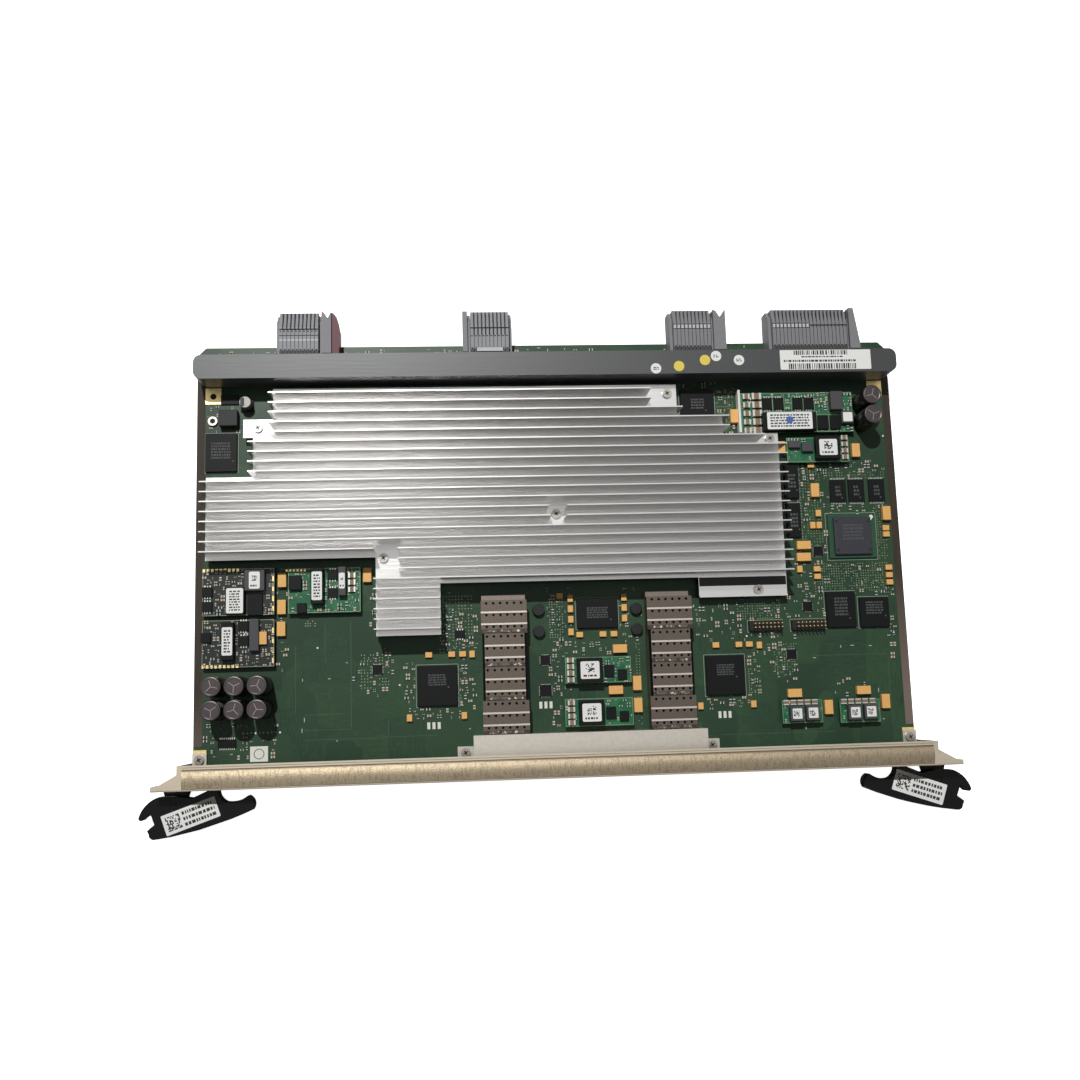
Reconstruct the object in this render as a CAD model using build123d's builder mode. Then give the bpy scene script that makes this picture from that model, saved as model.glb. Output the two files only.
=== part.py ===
from build123d import *
import os

# Ethernet interface board: a plug-in card with a front panel, two ejector levers, two optical
# transceiver cages, one large stepped heat sink, a rear stiffener bar and four backplane
# connectors. Millimetres. +X runs along the panel, +Y goes back to the connectors and +Z is
# the component side. The origin is the centre of the circuit board's underside.

os.makedirs("parts", exist_ok=True)

# Circuit board
board_length = 366.7
board_depth = 220.0
board_thickness = 2.4
board_rear_chamfer = 4.0
guide_edge_width = 4.5
guide_edge_thickness = 1.6
guide_edge_front_stop = 14.0
corner_hole_radius = 1.6
corner_holes = [(-175.0, 84.0), (175.0, 84.0)]
earth_screw_at = (-175.0, 70.7)

# Front panel: a channel whose front flange runs on past the board as a wing at each end
panel_length = 395.25
panel_height = 30.0
panel_below_board = 4.0
panel_gap = 2.1
flange_thickness = 2.5
panel_depth = 12.0
leg_thickness = 1.5
end_wall_gap = 0.65
end_wall_thickness = 1.5
panel_edge_radius = 0.8
wing_rib_thickness = 2.0
wing_rib_depth = 5.3
wing_rib_reach = 9.5
panel_hole_spacing = 389.15
panel_hole_radius = 1.35
panel_hole_height = 23.0

# Woven shielding gasket on the upper leg of the panel
gasket_width = 8.5
gasket_thickness = 1.0
gasket_front_margin = 1.2
gasket_end_margin = 2.5

# Ejector levers and their hinges
lever_thickness = 7.0
lever_height = 13.0
pivot_inset = 7.6
pivot_from_panel = 7.9
pivot_pin_radius = 1.5
lever_bore_clearance = 0.08
pin_end_recess = 0.3
lever_stop_gap = 0.3
ear_bore_clearance = 0.05
ear_thickness = 1.5
ear_gap = 0.35
ear_radius = 4.2
ear_root_width = 13.0
hinge_web_width = 4.0
hinge_web_thickness = 1.5
rivet_head_radius = 2.4
rivet_head_height = 0.8
lever_notch_clearance = 0.6

# Transceiver ports
ports_centre = 14.1
port_pitch = 84.0
cage_width = 22.2
cage_height = 10.8
cage_wall = 0.8
cage_back = -26.3
cage_floor = 0.5
cage_floor_opening = 12.0
cage_tail_length = 3.0
cage_tail_height = 6.0
port_clearance = 0.4
host_width = 17.0
host_depth = 7.5
host_height = 6.0
host_slot_width = 13.0
host_slot_height = 1.4
host_slot_depth = 4.0

# Perforated covers on the cages
cover_wide = 23.1
cover_narrow = 20.0
cover_thickness = 1.0
cover_tiers = 4
cover_rows = 3
cover_holes = 6
cover_first_row = 1.5
cover_row_pitch = 5.9
cover_hole_pitch = 3.5
cover_hole_size = 1.2
cover_ridge_lead = 1.3
cover_ridge_width = 0.9
cover_ridge_height = 0.6
cover_lip_depth = 3.0
spring_count = 3
spring_width = 4.6
spring_length = 1.2
spring_pitch = 6.2

# Port frame between the cages and the panel
frame_length = 117.0
frame_depth = 19.0
frame_height = 12.6
frame_wall = 1.5
frame_ear_length = 8.0
frame_ear_depth = 6.0
frame_ear_back = 5.5
frame_ear_thickness = 1.5

# Corner brackets that tie the board to the panel
bracket_width = 7.0
bracket_inset = 3.7
bracket_foot = 14.4
bracket_rise = 14.0
bracket_thickness = 2.0
bracket_screw_back = 11.2

# Heat sink: one plate in steps, cross fins on top and pedestals below
sink_gap = 4.0
sink_base_thickness = 2.0
fin_height = 16.0
fin_thickness = 0.6
fin_pitch = 5.0
first_fin = 80.0
sink_rear = 86.0
sink_front = -16.5
sink_screw_clearing = 5.0
sink_spacer_radius = 3.2
sink_lip_height = 1.0

# Rear stiffener bar
stiffener_length = 363.6
stiffener_width = 12.5
stiffener_height = 17.0
stiffener_wall = 1.8
stiffener_front = 88.8
stiffener_end_radius = 4.0
stiffener_screws_count = 7
stiffener_screw_pitch = 58.0
stiffener_boss_radius = 3.0
stiffener_screw_reach = 6.0
stiffener_screw_spare = 1.5
flat_head_radius = 2.75
flat_head_depth = 1.3

# Screws
screw_radius = 1.25
screw_clearance = 0.15
thread_clearance = 0.05
screw_head_radius = 2.4
screw_head_height = 1.5

# Backplane connectors
connector_front = 102.7
connector_depth = 22.0
connector_height = 14.0
wafer_pitch = 2.0
wafer_gap = 0.3
wafer_shoulder = 1.2
wafer_flat = 14.0
wafer_nose_drop = 3.0
wafer_slot_from_front = 11.5
wafer_slot_width = 1.3
wafer_slot_depth = 0.8
connector_wall = 1.5
connector_wall_height = 11.0
connector_floor = 1.2
connector_shoulder = 5.0

# Standing capacitors
bulk_radius = 5.0
bulk_columns = 3
bulk_rows = 2
bulk_centre = (-159.8, -71.3)
bulk_height = 20.0
bulk_pitch_x = 11.0
bulk_pitch_y = 11.5
input_radius = 5.0
input_height = 20.0
input_centre = (166.4, 70.5)
input_pitch = 10.4
can_groove_height = 2.6
can_groove_width = 1.0
can_groove_depth = 0.4

# Small can capacitor
small_can_at = (-157.5, 79.0)
small_can_base = 6.6
small_can_base_height = 1.2
small_can_radius = 3.1
small_can_height = 7.5

# Power modules: boards as centre, width and depth; the parts on them also with their height
module_lift = 2.6
module_board_thickness = 1.4
module_pin_inset = 1.6
module_pin_radius = 0.6
supply_modules = {
    "input_supply": [(130.8, 70.5, 60.4, 21.8)],
    "side_supply": [(140.7, 50.1, 33.6, 13.5)],
    "left_supply": [(-160.8, -18.3, 36.0, 24.0), (-160.8, -44.2, 36.0, 24.0)],
    "core_supply": [(-118.0, -18.4, 36.5, 23.0)],
    "port_supply": [(19.6, -62.3, 34.0, 13.4), (19.4, -83.5, 35.0, 14.2)],
    "corner_supply": [(123.8, -86.4, 21.2, 12.0), (153.9, -86.9, 21.2, 12.0)],
}
module_parts = {
    "module_cores": [
        (125.0, 64.6, 28.8, 9.6, 5.6),
        (145.2, 50.6, 13.0, 12.0, 4.0),
        (15.0, -62.4, 12.8, 12.4, 4.0),
        (15.2, -83.6, 12.8, 12.6, 4.0),
        (-161.9, -23.0, 9.3, 13.6, 4.0),
        (-165.4, -43.2, 6.2, 18.8, 4.4),
        (-121.2, -16.6, 6.2, 18.2, 5.0),
    ],
    "module_ferrites": [
        (151.3, 75.8, 6.5, 10.0, 4.4),
        (157.0, 67.0, 6.4, 6.4, 3.2),
        (127.7, 52.8, 6.0, 3.8, 2.5),
        (134.6, 51.2, 6.0, 4.7, 2.5),
        (-152.3, -12.9, 9.9, 10.4, 3.6),
        (-152.4, -40.2, 4.6, 16.0, 3.6),
        (-108.8, -14.2, 3.8, 14.9, 4.4),
        (120.0, -87.4, 7.0, 7.6, 4.0),
        (128.4, -87.2, 7.0, 7.6, 3.6),
        (150.2, -87.6, 7.0, 7.6, 4.0),
        (158.6, -87.4, 7.0, 7.6, 3.6),
    ],
    "module_chips": [(x, 75.2, 5.2, 6.2, 1.2) for x in (114.7, 120.9, 131.2, 137.2)]
    + [(x, 64.7, 5.6, 7.4, 1.6) for x in (144.2, 150.9)]
    + [(x, y, 4.9, 4.9, 1.4) for x, y in ((-176.0, -18.1), (-176.0, -25.5), (-158.1, -35.6), (-158.0, -43.0))]
    + [(x, y, 4.9, 4.8, 1.4) for x, y in ((-113.8, -10.7), (-113.8, -19.9), (-129.2, -27.2), (-176.5, -41.1))]
    + [(-152.3, -25.0, 7.3, 10.6, 1.6), (-132.4, -14.5, 6.2, 7.1, 2.6)]
    + [(x, y, 5.0, 6.0, 1.2) for x, y in ((25.1, -63.0), (25.3, -84.0))]
    + [(x, y, 4.6, 5.2, 1.0) for x, y in ((31.8, -65.0), (32.0, -86.0))],
}

# Processor with a lid
processor_at = (157.0, 4.0)
substrate_height = 1.2
processor_lid_side = 20.0
processor_lid_height = 1.8
processor_lid_chamfer = 0.4

# Flat packages by kind: height, then centre, width and depth of each
flat_parts = {
    "network_chips": (2.2, [(-62.0, -67.9, 20.0, 20.0), (85.5, -66.8, 20.0, 20.0), (20.5, -33.3, 21.0, 15.0)]),
    "processor_substrate": (substrate_height, [(processor_at[0], processor_at[1], 25.0, 23.0)]),
    "memory_chips": (1.2, [(x, 28.3, 8.6, 12.2) for x in (151.2, 161.0, 172.0)]),
    "logic_chips": (
        2.0,
        [
            (78.0, 76.5, 18.0, 15.5),
            (126.3, 34.0, 7.5, 18.5),
            (126.3, 13.0, 7.5, 18.0),
            (148.3, -34.5, 15.5, 18.5),
            (166.0, -36.3, 15.4, 15.4),
            (-170.5, 54.0, 16.0, 20.0),
        ],
    ),
    "small_chips": (
        1.0,
        [(x, y, 5.0, 5.0) for x, y in ((-92.0, -59.0), (121.0, -57.0), (131.0, -32.5), (138.5, -3.5), (-7.0, -56.5))]
        + [(-7.2, -72.0, 6.0, 6.0), (-50.1, -42.2, 5.0, 4.0), (-166.5, -93.5, 9.0, 4.2), (-166.5, 82.0, 9.0, 5.0)],
    ),
    "large_tantalums": (
        2.9,
        [(x, y, 4.3, 7.3) for x, y in ((-139.4, -12.6), (-139.6, -26.3), (-139.8, -37.3), (-96.6, -11.0))]
        + [(x, y, 4.3, 7.3) for x, y in ((97.4, 69.4), (121.6, 51.6), (161.8, 49.9), (138.3, 28.7), (176.0, 15.7))]
        + [(x, y, 4.3, 7.3) for x, y in ((39.5, -69.5), (39.6, -80.6), (138.2, -84.6), (168.3, -82.5))]
        + [(x, y, 7.3, 4.3) for x, y in ((130.5, -0.4), (130.1, -6.7), (31.4, -51.8), (28.5, -72.7))]
        + [(x, y, 7.3, 4.3) for x, y in ((120.9, -77.0), (157.1, -76.5))],
    ),
    "small_tantalums": (
        1.9,
        [(x, -52.3, 3.5, 2.8) for x in (-66.1, -54.5, -49.0)]
        + [(x, -51.3, 3.5, 2.8) for x in (81.3, 93.3, 98.8)]
        + [(x, -44.1, 3.5, 2.8) for x in (11.0, 23.0, 28.7)]
        + [(x, y, 3.5, 2.8) for x in (137.0, 175.4) for y in (-13.0, -17.0)]
        + [(x, y, 3.5, 2.8) for x, y in ((175.4, 8.0), (175.4, 4.6), (175.4, -20.8), (137.2, 42.4), (1.3, -24.0))]
        + [(x, y, 2.8, 3.5) for x in (6.7, 34.5) for y in (-25.5, -30.8, -36.2)]
        + [(x, y, 2.8, 3.5) for x, y in ((136.2, 10.1), (139.6, 10.1), (139.6, 16.5), (127.8, -12.9), (6.6, -42.6))]
        + [(x, y, 2.8, 3.5) for x, y in ((-44.2, -52.5), (104.0, -51.9), (-76.2, -83.6), (-48.7, -83.2))]
        + [(x, y, 2.8, 3.5) for x, y in ((71.9, -82.1), (99.4, -81.9))],
    ),
    "header_strips": (2.5, [(108.0, -42.0, 17.5, 5.0), (130.5, -42.0, 17.5, 5.0)]),
}

# Chokes and pin headers
chokes_at = [(-9.8, -31.0), (-9.8, -42.0), (40.5, -31.5), (40.5, -42.0)]
choke_radius = 3.0
choke_height = 3.0
square_choke = (-166.5, 71.5, 9.4, 8.4, 5.0)
headers_at = [(108.0, -42.0), (130.5, -42.0)]
header_pitch = 2.0
header_columns = 8
header_pin = 0.5
header_pin_height = 5.5
header_strip_height = 2.5

# Values that follow from the ones above
half_length = board_length / 2
rear_edge = board_depth / 2
front_edge = -board_depth / 2
top = board_thickness
panel_bottom = -panel_below_board
panel_top = panel_bottom + panel_height
flange_back = front_edge - panel_gap
panel_front = flange_back - flange_thickness
panel_back = panel_front + panel_depth
end_wall_inner = half_length + end_wall_gap
end_wall_outer = end_wall_inner + end_wall_thickness
pivot_x = panel_length / 2 - pivot_inset
pivot_y = panel_front - pivot_from_panel
lever_bottom = panel_bottom + lever_height - lever_thickness / 2
lever_top = lever_bottom + lever_thickness
ear_low = lever_bottom - ear_gap - ear_thickness
ports = [ports_centre - port_pitch / 2, ports_centre + port_pitch / 2]
frame_back = flange_back + frame_depth
cage_front = frame_back
cage_length = cage_back - cage_front
tier_length = cage_length / cover_tiers
port_width = cage_width - 2 * cage_wall - 2 * port_clearance
port_low = top + cage_floor
port_high = top + cage_height - cage_wall - port_clearance
frame_ear_y = frame_back - frame_ear_back - frame_ear_depth / 2
ear_centres = [ports_centre + side * (frame_length + frame_ear_length) / 2 for side in (-1, 1)]
bracket_screw_y = flange_back + bracket_screw_back
bracket_centres = [side * (half_length - bracket_inset) for side in (-1, 1)]
stiffener_y = stiffener_front + stiffener_width / 2
stiffener_screws_at = [
    ((index - (stiffener_screws_count - 1) / 2) * stiffener_screw_pitch, stiffener_y)
    for index in range(stiffener_screws_count)
]
sink_bottom = top + sink_gap
sink_top = sink_bottom + sink_base_thickness
screw_hole_radius = screw_radius + screw_clearance
wafer_top = top + connector_height
connector_back = connector_front + connector_depth

# Places where screws hold the heat sink, in the plate's corners, its middle and its foot
sink_screws = [(-151.0, 65.5), (0.5, 18.0), (61.0, 81.0), (114.5, 56.0), (-88.0, -3.0), (104.0, -23.5)]

# Steps of the heat sink from left to right: left edge, right edge, front edge and rear edge
sink_steps = [
    (-177.0, -153.5, -2.5, 40.0),
    (-153.5, -143.5, -2.5, 60.5),
    (-143.5, -92.0, -2.5, sink_rear),
    (-92.0, -59.5, -42.5, sink_rear),
    (-59.5, 66.0, sink_front, sink_rear),
    (66.0, 90.0, sink_front, 66.5),
    (90.0, 119.0, sink_front, 59.0),
]
sink_foot = (73.0, 119.0, -27.0, sink_front)
sink_tab = (-158.5, -143.5, 60.5, 70.0)
corner_plates = [(50.0, 66.0, 73.0, sink_rear), (108.0, 119.0, 52.0, 59.0), (-92.0, -80.0, -12.0, 2.0)]

# Large processors hidden under the heat sink: centre and side length
sink_chip_height = 3.2
sink_chips_at = [(-110.0, 45.0, 35.0), (-20.0, 45.0, 35.0), (45.0, 10.0, 35.0), (-75.5, -27.0, 27.0)]
thermal_pad_inset = 2.0

# Backplane connectors from left to right: name, left side of the first wafer, wafer count
connectors = [("1", -139.4, 10), ("2", -41.6, 10), ("3", 64.6, 10), ("4", 117.4, 20)]

# Keyed and rounded blocks beside the trays: left side, then the rest of the outline from above, as
# distances to the right and to the back
key_block_height = 13.6
key_blocks_at = {
    "1": (-117.9, ((4.9, 0), (4.9, 22.0), (3.2, 18.6), (1.2, 21.6), (0, 22.0))),
    "2": (-45.6, ((2.5, 0), (2.5, 21.6), (0, 21.6))),
    "3": (86.1, ((6.5, 0), (6.5, 22.0), (3.6, 17.4), (1.6, 20.8), (0, 21.6))),
    "4": (158.9, ((5.4, 0), (5.4, 3.0), (2.6, 22.0), (0, 22.0))),
}
red_key = (-113.0, ((3.7, 0), (3.7, 14.0), (2.8, 19.4), (1.0, 21.8), (0, 22.0)))
red_key_height = 11.6


def rectangle(left, right, front, back):
    """A rectangle given by its four sides."""
    with Locations(((left + right) / 2, (front + back) / 2)):
        Rectangle(right - left, back - front)


# Circuit board
with BuildPart() as main_board:
    with BuildSketch():
        Rectangle(board_length, board_depth)
    extrude(amount=board_thickness)
    chamfer(main_board.edges().filter_by(Axis.Z).group_by(Axis.Y)[-1], board_rear_chamfer)
    with BuildSketch(Plane.XY.offset(guide_edge_thickness)):
        for side in (-1, 1):
            with Locations((side * (half_length - guide_edge_width / 2), guide_edge_front_stop / 2)):
                Rectangle(guide_edge_width, board_depth - guide_edge_front_stop)
    extrude(amount=board_thickness - guide_edge_thickness, mode=Mode.SUBTRACT)
    with Locations(*[(x, y, top) for x, y in sink_screws]):
        Hole(screw_hole_radius)
    with Locations(*[(x, bracket_screw_y, top) for x in bracket_centres], *[(x, frame_ear_y, top) for x in ear_centres]):
        Hole(screw_hole_radius)
    with Locations((earth_screw_at[0], earth_screw_at[1], top), *[(x, y, top) for x, y in stiffener_screws_at]):
        Hole(screw_hole_radius)
    with Locations(*[(x, y, top) for x, y in corner_holes]):
        Hole(corner_hole_radius)
    with Locations(*stiffener_screws_at):
        Cone(
            flat_head_radius,
            screw_hole_radius,
            flat_head_depth,
            align=(Align.CENTER, Align.CENTER, Align.MIN),
            mode=Mode.SUBTRACT,
        )
main_board.part.label = "main_board"
export_step(main_board.part, "parts/main_board.step")


# Front panel: flange with wings, upper and lower legs, end walls and wing ribs
with BuildPart() as front_panel:
    with BuildSketch(Plane.YZ.offset(-end_wall_outer)):
        rectangle(panel_front, flange_back, panel_bottom, panel_top)
        rectangle(flange_back, panel_back, panel_bottom, panel_bottom + leg_thickness)
        rectangle(flange_back, panel_back, panel_top - leg_thickness, panel_top)
    extrude(amount=2 * end_wall_outer)
    with BuildSketch(Plane.XY.offset(panel_bottom)):
        for side in (-1, 1):
            wall_centre = side * (end_wall_inner + end_wall_thickness / 2)
            with Locations((wall_centre, (flange_back + panel_back) / 2)):
                Rectangle(end_wall_thickness, panel_back - flange_back)
        rectangle(-panel_length / 2, panel_length / 2, panel_front, flange_back)
    extrude(amount=panel_height)
    for rib_bottom in (panel_bottom, panel_top - wing_rib_thickness):
        for side in (-1, 1):
            with BuildSketch(Plane.XY.offset(rib_bottom)):
                with BuildLine():
                    Polyline(
                        (side * end_wall_outer, flange_back),
                        (side * (end_wall_outer + wing_rib_reach), flange_back),
                        (side * end_wall_outer, flange_back + wing_rib_depth),
                        close=True,
                    )
                make_face()
            extrude(amount=wing_rib_thickness)
    with BuildSketch(Plane.XZ.offset(-panel_front)):
        for port_x in ports:
            rectangle(port_x - port_width / 2, port_x + port_width / 2, port_low, port_high)
    extrude(amount=-flange_thickness, mode=Mode.SUBTRACT)
    with BuildSketch(Plane.XZ.offset(-panel_front)):
        with Locations(*[(side * panel_hole_spacing / 2, panel_bottom + panel_hole_height) for side in (-1, 1)]):
            Circle(panel_hole_radius)
        for side in (-1, 1):
            notch = lever_notch_clearance
            with Locations((side * (pivot_x + panel_length / 2 + 1) / 2, (lever_bottom + lever_top) / 2)):
                Rectangle(panel_length / 2 + 1 - pivot_x, lever_thickness + 2 * notch)
    extrude(amount=-flange_thickness, mode=Mode.SUBTRACT)
    front_edges = front_panel.edges().filter_by(Axis.X).group_by(Axis.Y)[0].group_by(Axis.Z)
    fillet(front_edges[0] + front_edges[-1], panel_edge_radius)
front_panel.part.label = "front_panel"
export_step(front_panel.part, "parts/front_panel.step")

# Gasket: a woven sleeve over foam, half round on the panel's upper leg
gasket_end = end_wall_outer - gasket_end_margin
gasket_front = panel_front + gasket_front_margin
gasket_back = gasket_front + gasket_width
with BuildPart() as panel_gasket:
    with BuildSketch(Plane.YZ.offset(-gasket_end)):
        with BuildLine():
            Line((gasket_back, panel_top), (gasket_front, panel_top))
            ThreePointArc(
                (gasket_front, panel_top),
                ((gasket_front + gasket_back) / 2, panel_top + gasket_thickness),
                (gasket_back, panel_top),
            )
        make_face()
    extrude(amount=2 * gasket_end)
panel_gasket.part.label = "panel_gasket"
export_step(panel_gasket.part, "parts/panel_gasket.step")

# Corner brackets: a foot on the board and a leg against the panel
for name, bracket_x in zip(("left", "right"), bracket_centres):
    with BuildPart() as corner_bracket:
        with BuildSketch(Plane.YZ.offset(bracket_x - bracket_width / 2)):
            rectangle(flange_back, flange_back + bracket_foot, top, top + bracket_thickness)
            rectangle(flange_back, flange_back + bracket_thickness, top, top + bracket_rise)
        extrude(amount=bracket_width)
        with Locations((bracket_x, bracket_screw_y, top + bracket_thickness)):
            Hole(screw_hole_radius)
    corner_bracket.part.label = "corner_bracket_" + name
    export_step(corner_bracket.part, "parts/corner_bracket_" + name + ".step")

# Lever hinges: an ear below each lever and a web against the panel's front face
for name, side in (("left", -1), ("right", 1)):
    with BuildPart() as hinge_bracket:
        with BuildSketch(Plane.XY.offset(ear_low)):
            with Locations((side * pivot_x, pivot_y)):
                Circle(ear_radius)
            with Locations((side * pivot_x, panel_front - hinge_web_thickness / 2)):
                Rectangle(ear_root_width, hinge_web_thickness)
            make_hull()
            with Locations((side * pivot_x, pivot_y)):
                Circle(pivot_pin_radius + ear_bore_clearance, mode=Mode.SUBTRACT)
        extrude(amount=ear_thickness)
        web_x = side * (pivot_x - (ear_root_width - hinge_web_width) / 2)
        with BuildSketch(Plane.XY.offset(ear_low)):
            with Locations((web_x, panel_front - hinge_web_thickness / 2)):
                Rectangle(hinge_web_width, hinge_web_thickness)
        extrude(amount=lever_top - ear_low)
    hinge_bracket.part.label = "hinge_bracket_" + name
    export_step(hinge_bracket.part, "parts/hinge_bracket_" + name + ".step")

# Hinge pins, riveted over below the ear, each with a flush upper end in its lever
with BuildPart() as hinge_pins:
    for side in (-1, 1):
        with BuildSketch(Plane.XY.offset(ear_low)):
            with Locations((side * pivot_x, pivot_y)):
                Circle(pivot_pin_radius)
        extrude(amount=lever_top - pin_end_recess - ear_low)
        with BuildSketch(Plane.XY.offset(ear_low - rivet_head_height)):
            with Locations((side * pivot_x, pivot_y)):
                Circle(rivet_head_radius)
        extrude(amount=rivet_head_height)
hinge_pins.part.label = "hinge_pins"
export_step(hinge_pins.part, "parts/hinge_pins.step")


def lever_outline(side):
    """The lever seen from above, about its pivot: finger, stop, hub and two-pronged jaw."""
    def at(x, y):
        return (side * (pivot_x + x), pivot_y + y)

    stop = pivot_from_panel - lever_stop_gap
    with BuildLine() as outline:
        ThreePointArc(at(-37.7, -2.8), at(-38.5, 0.8), at(-35.6, 4.2))
        ThreePointArc(at(-35.6, 4.2), at(-30.5, 1.7), at(-25.3, 1.5))
        ThreePointArc(at(-25.3, 1.5), at(-22.6, 3.6), at(-21.4, stop))
        Line(at(-21.4, stop), at(-17.4, stop))
        Line(at(-17.4, stop), at(-8.7, 3.8))
        ThreePointArc(at(-8.7, 3.8), at(-0.5, 4.9), at(7.3, 4.8))
        ThreePointArc(at(7.3, 4.8), at(12.8, 1.4), at(16.5, -5.0))
        ThreePointArc(at(16.5, -5.0), at(15.3, -6.2), at(13.8, -5.4))
        Polyline(at(13.8, -5.4), at(10.8, -3.2), at(8.8, -8.2), at(12.3, -10.9), at(11.4, -12.9))
        ThreePointArc(at(11.4, -12.9), at(10.5, -14.8), at(8.5, -15.3))
        ThreePointArc(at(8.5, -15.3), at(-17.7, -10.0), at(-37.7, -2.8))
    return outline.edges()


# Ejector levers, each cast in one piece
for name, side in (("left", -1), ("right", 1)):
    with BuildPart() as ejector:
        with BuildSketch(Plane.XY.offset(lever_bottom)):
            make_face(lever_outline(side))
            with Locations((side * pivot_x, pivot_y)):
                Circle(pivot_pin_radius + lever_bore_clearance, mode=Mode.SUBTRACT)
        extrude(amount=lever_thickness)
    ejector.part.label = "ejector_" + name
    export_step(ejector.part, "parts/ejector_" + name + ".step")

# Port frame: a shallow box over the front of both cages, open below, with a screw ear at each end
frame_left = ports_centre - frame_length / 2
frame_right = ports_centre + frame_length / 2
with BuildPart() as port_frame:
    with BuildSketch(Plane.XY.offset(top)):
        rectangle(frame_left, frame_right, flange_back, frame_back)
    extrude(amount=frame_height)
    with BuildSketch(Plane.XY.offset(top)):
        rectangle(
            frame_left + frame_wall, frame_right - frame_wall, flange_back + frame_wall, frame_back - frame_wall
        )
    extrude(amount=frame_height - frame_wall, mode=Mode.SUBTRACT)
    with BuildSketch(Plane.XZ.offset(-flange_back)):
        for port_x in ports:
            rectangle(port_x - port_width / 2, port_x + port_width / 2, top, port_high)
    extrude(amount=-frame_depth, mode=Mode.SUBTRACT)
    with BuildSketch(Plane.XY.offset(top)):
        with Locations(*[(x, frame_ear_y) for x in ear_centres]):
            Rectangle(frame_ear_length, frame_ear_depth)
    extrude(amount=frame_ear_thickness)
    with Locations(*[(x, frame_ear_y, top + frame_ear_thickness) for x in ear_centres]):
        Hole(screw_hole_radius)
port_frame.part.label = "port_frame"
export_step(port_frame.part, "parts/port_frame.step")

# Transceiver cages: folded sheet boxes, open at the front, with a low tail at the back
for name, port_x in zip(("left", "right"), ports):
    cage_left = port_x - cage_width / 2
    cage_right = port_x + cage_width / 2
    with BuildPart() as cage:
        with BuildSketch(Plane.XY.offset(top)):
            rectangle(cage_left, cage_right, cage_front, cage_back)
        extrude(amount=cage_height)
        with BuildSketch(Plane.XY.offset(top)):
            rectangle(cage_left, cage_right, cage_back, cage_back + cage_tail_length)
        extrude(amount=cage_tail_height)
        with BuildSketch(Plane.XY.offset(top + cage_floor)):
            rectangle(cage_left + cage_wall, cage_right - cage_wall, cage_front, cage_back - cage_wall)
        extrude(amount=cage_height - cage_wall - cage_floor, mode=Mode.SUBTRACT)
        with BuildSketch(Plane.XY.offset(top)):
            rectangle(
                cage_left + cage_wall, cage_right - cage_wall, cage_back - cage_floor_opening, cage_back - cage_wall
            )
            rectangle(
                cage_left + cage_wall, cage_right - cage_wall, cage_back, cage_back + cage_tail_length - cage_wall
            )
        extrude(amount=cage_tail_height - cage_wall, mode=Mode.SUBTRACT)
    cage.part.label = "transceiver_cage_" + name
    export_step(cage.part, "parts/transceiver_cage_" + name + ".step")

# Cage covers: stamped plates in four tiers, each with rows of vent holes and cross ridges
cover_bottom = top + cage_height
for name, port_x in zip(("left", "right"), ports):
    with BuildPart() as cover:
        for tier in range(cover_tiers):
            tier_back = cage_back - tier * tier_length
            outer_tier = tier in (0, cover_tiers - 1)
            tier_width = cover_wide if outer_tier else cover_narrow
            with BuildSketch(Plane.XY.offset(cover_bottom)):
                rectangle(port_x - tier_width / 2, port_x + tier_width / 2, tier_back - tier_length, tier_back)
            extrude(amount=cover_thickness)
            if outer_tier:
                lip = (cover_wide - cage_width) / 2
                with BuildSketch(Plane.XY.offset(cover_bottom - cover_lip_depth)):
                    for side in (-1, 1):
                        with Locations((port_x + side * (cage_width + lip) / 2, tier_back - tier_length / 2)):
                            Rectangle(lip, tier_length)
                extrude(amount=cover_lip_depth)
            for row in range(1, cover_rows):
                ridge_y = tier_back - cover_first_row - row * cover_row_pitch + cover_ridge_lead
                with BuildSketch(Plane.XY.offset(cover_bottom + cover_thickness)):
                    with Locations((port_x, ridge_y)):
                        Rectangle(tier_width, cover_ridge_width)
                extrude(amount=cover_ridge_height)
            spring_y = tier_back - tier_length + spring_length
            with BuildSketch(Plane.XY.offset(cover_bottom + cover_thickness)):
                with Locations((port_x, spring_y)):
                    with GridLocations(spring_pitch, 1, spring_count, 1):
                        Rectangle(spring_width, spring_length)
            extrude(amount=cover_ridge_height)
            with BuildSketch(Plane.XY.offset(cover_bottom)):
                for row in range(cover_rows):
                    row_y = tier_back - cover_first_row - row * cover_row_pitch
                    with Locations((port_x, row_y)):
                        with GridLocations(cover_hole_pitch, 1, cover_holes, 1):
                            Rectangle(cover_hole_size, cover_hole_size, rotation=45)
            extrude(amount=cover_thickness + cover_ridge_height, mode=Mode.SUBTRACT)
    cover.part.label = "cage_cover_" + name
    export_step(cover.part, "parts/cage_cover_" + name + ".step")

# Host connectors: the card-edge sockets at the back of the cages
with BuildPart() as host_connectors:
    host_back = cage_back - cage_wall - port_clearance
    for port_x in ports:
        with BuildSketch(Plane.XY.offset(top)):
            rectangle(port_x - host_width / 2, port_x + host_width / 2, host_back - host_depth, host_back)
        extrude(amount=host_height)
        with BuildSketch(Plane.XZ.offset(host_depth - host_back)):
            with Locations((port_x, top + host_height / 2)):
                Rectangle(host_slot_width, host_slot_height)
        extrude(amount=-host_slot_depth, mode=Mode.SUBTRACT)
host_connectors.part.label = "host_connectors"
export_step(host_connectors.part, "parts/host_connectors.step")

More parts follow.
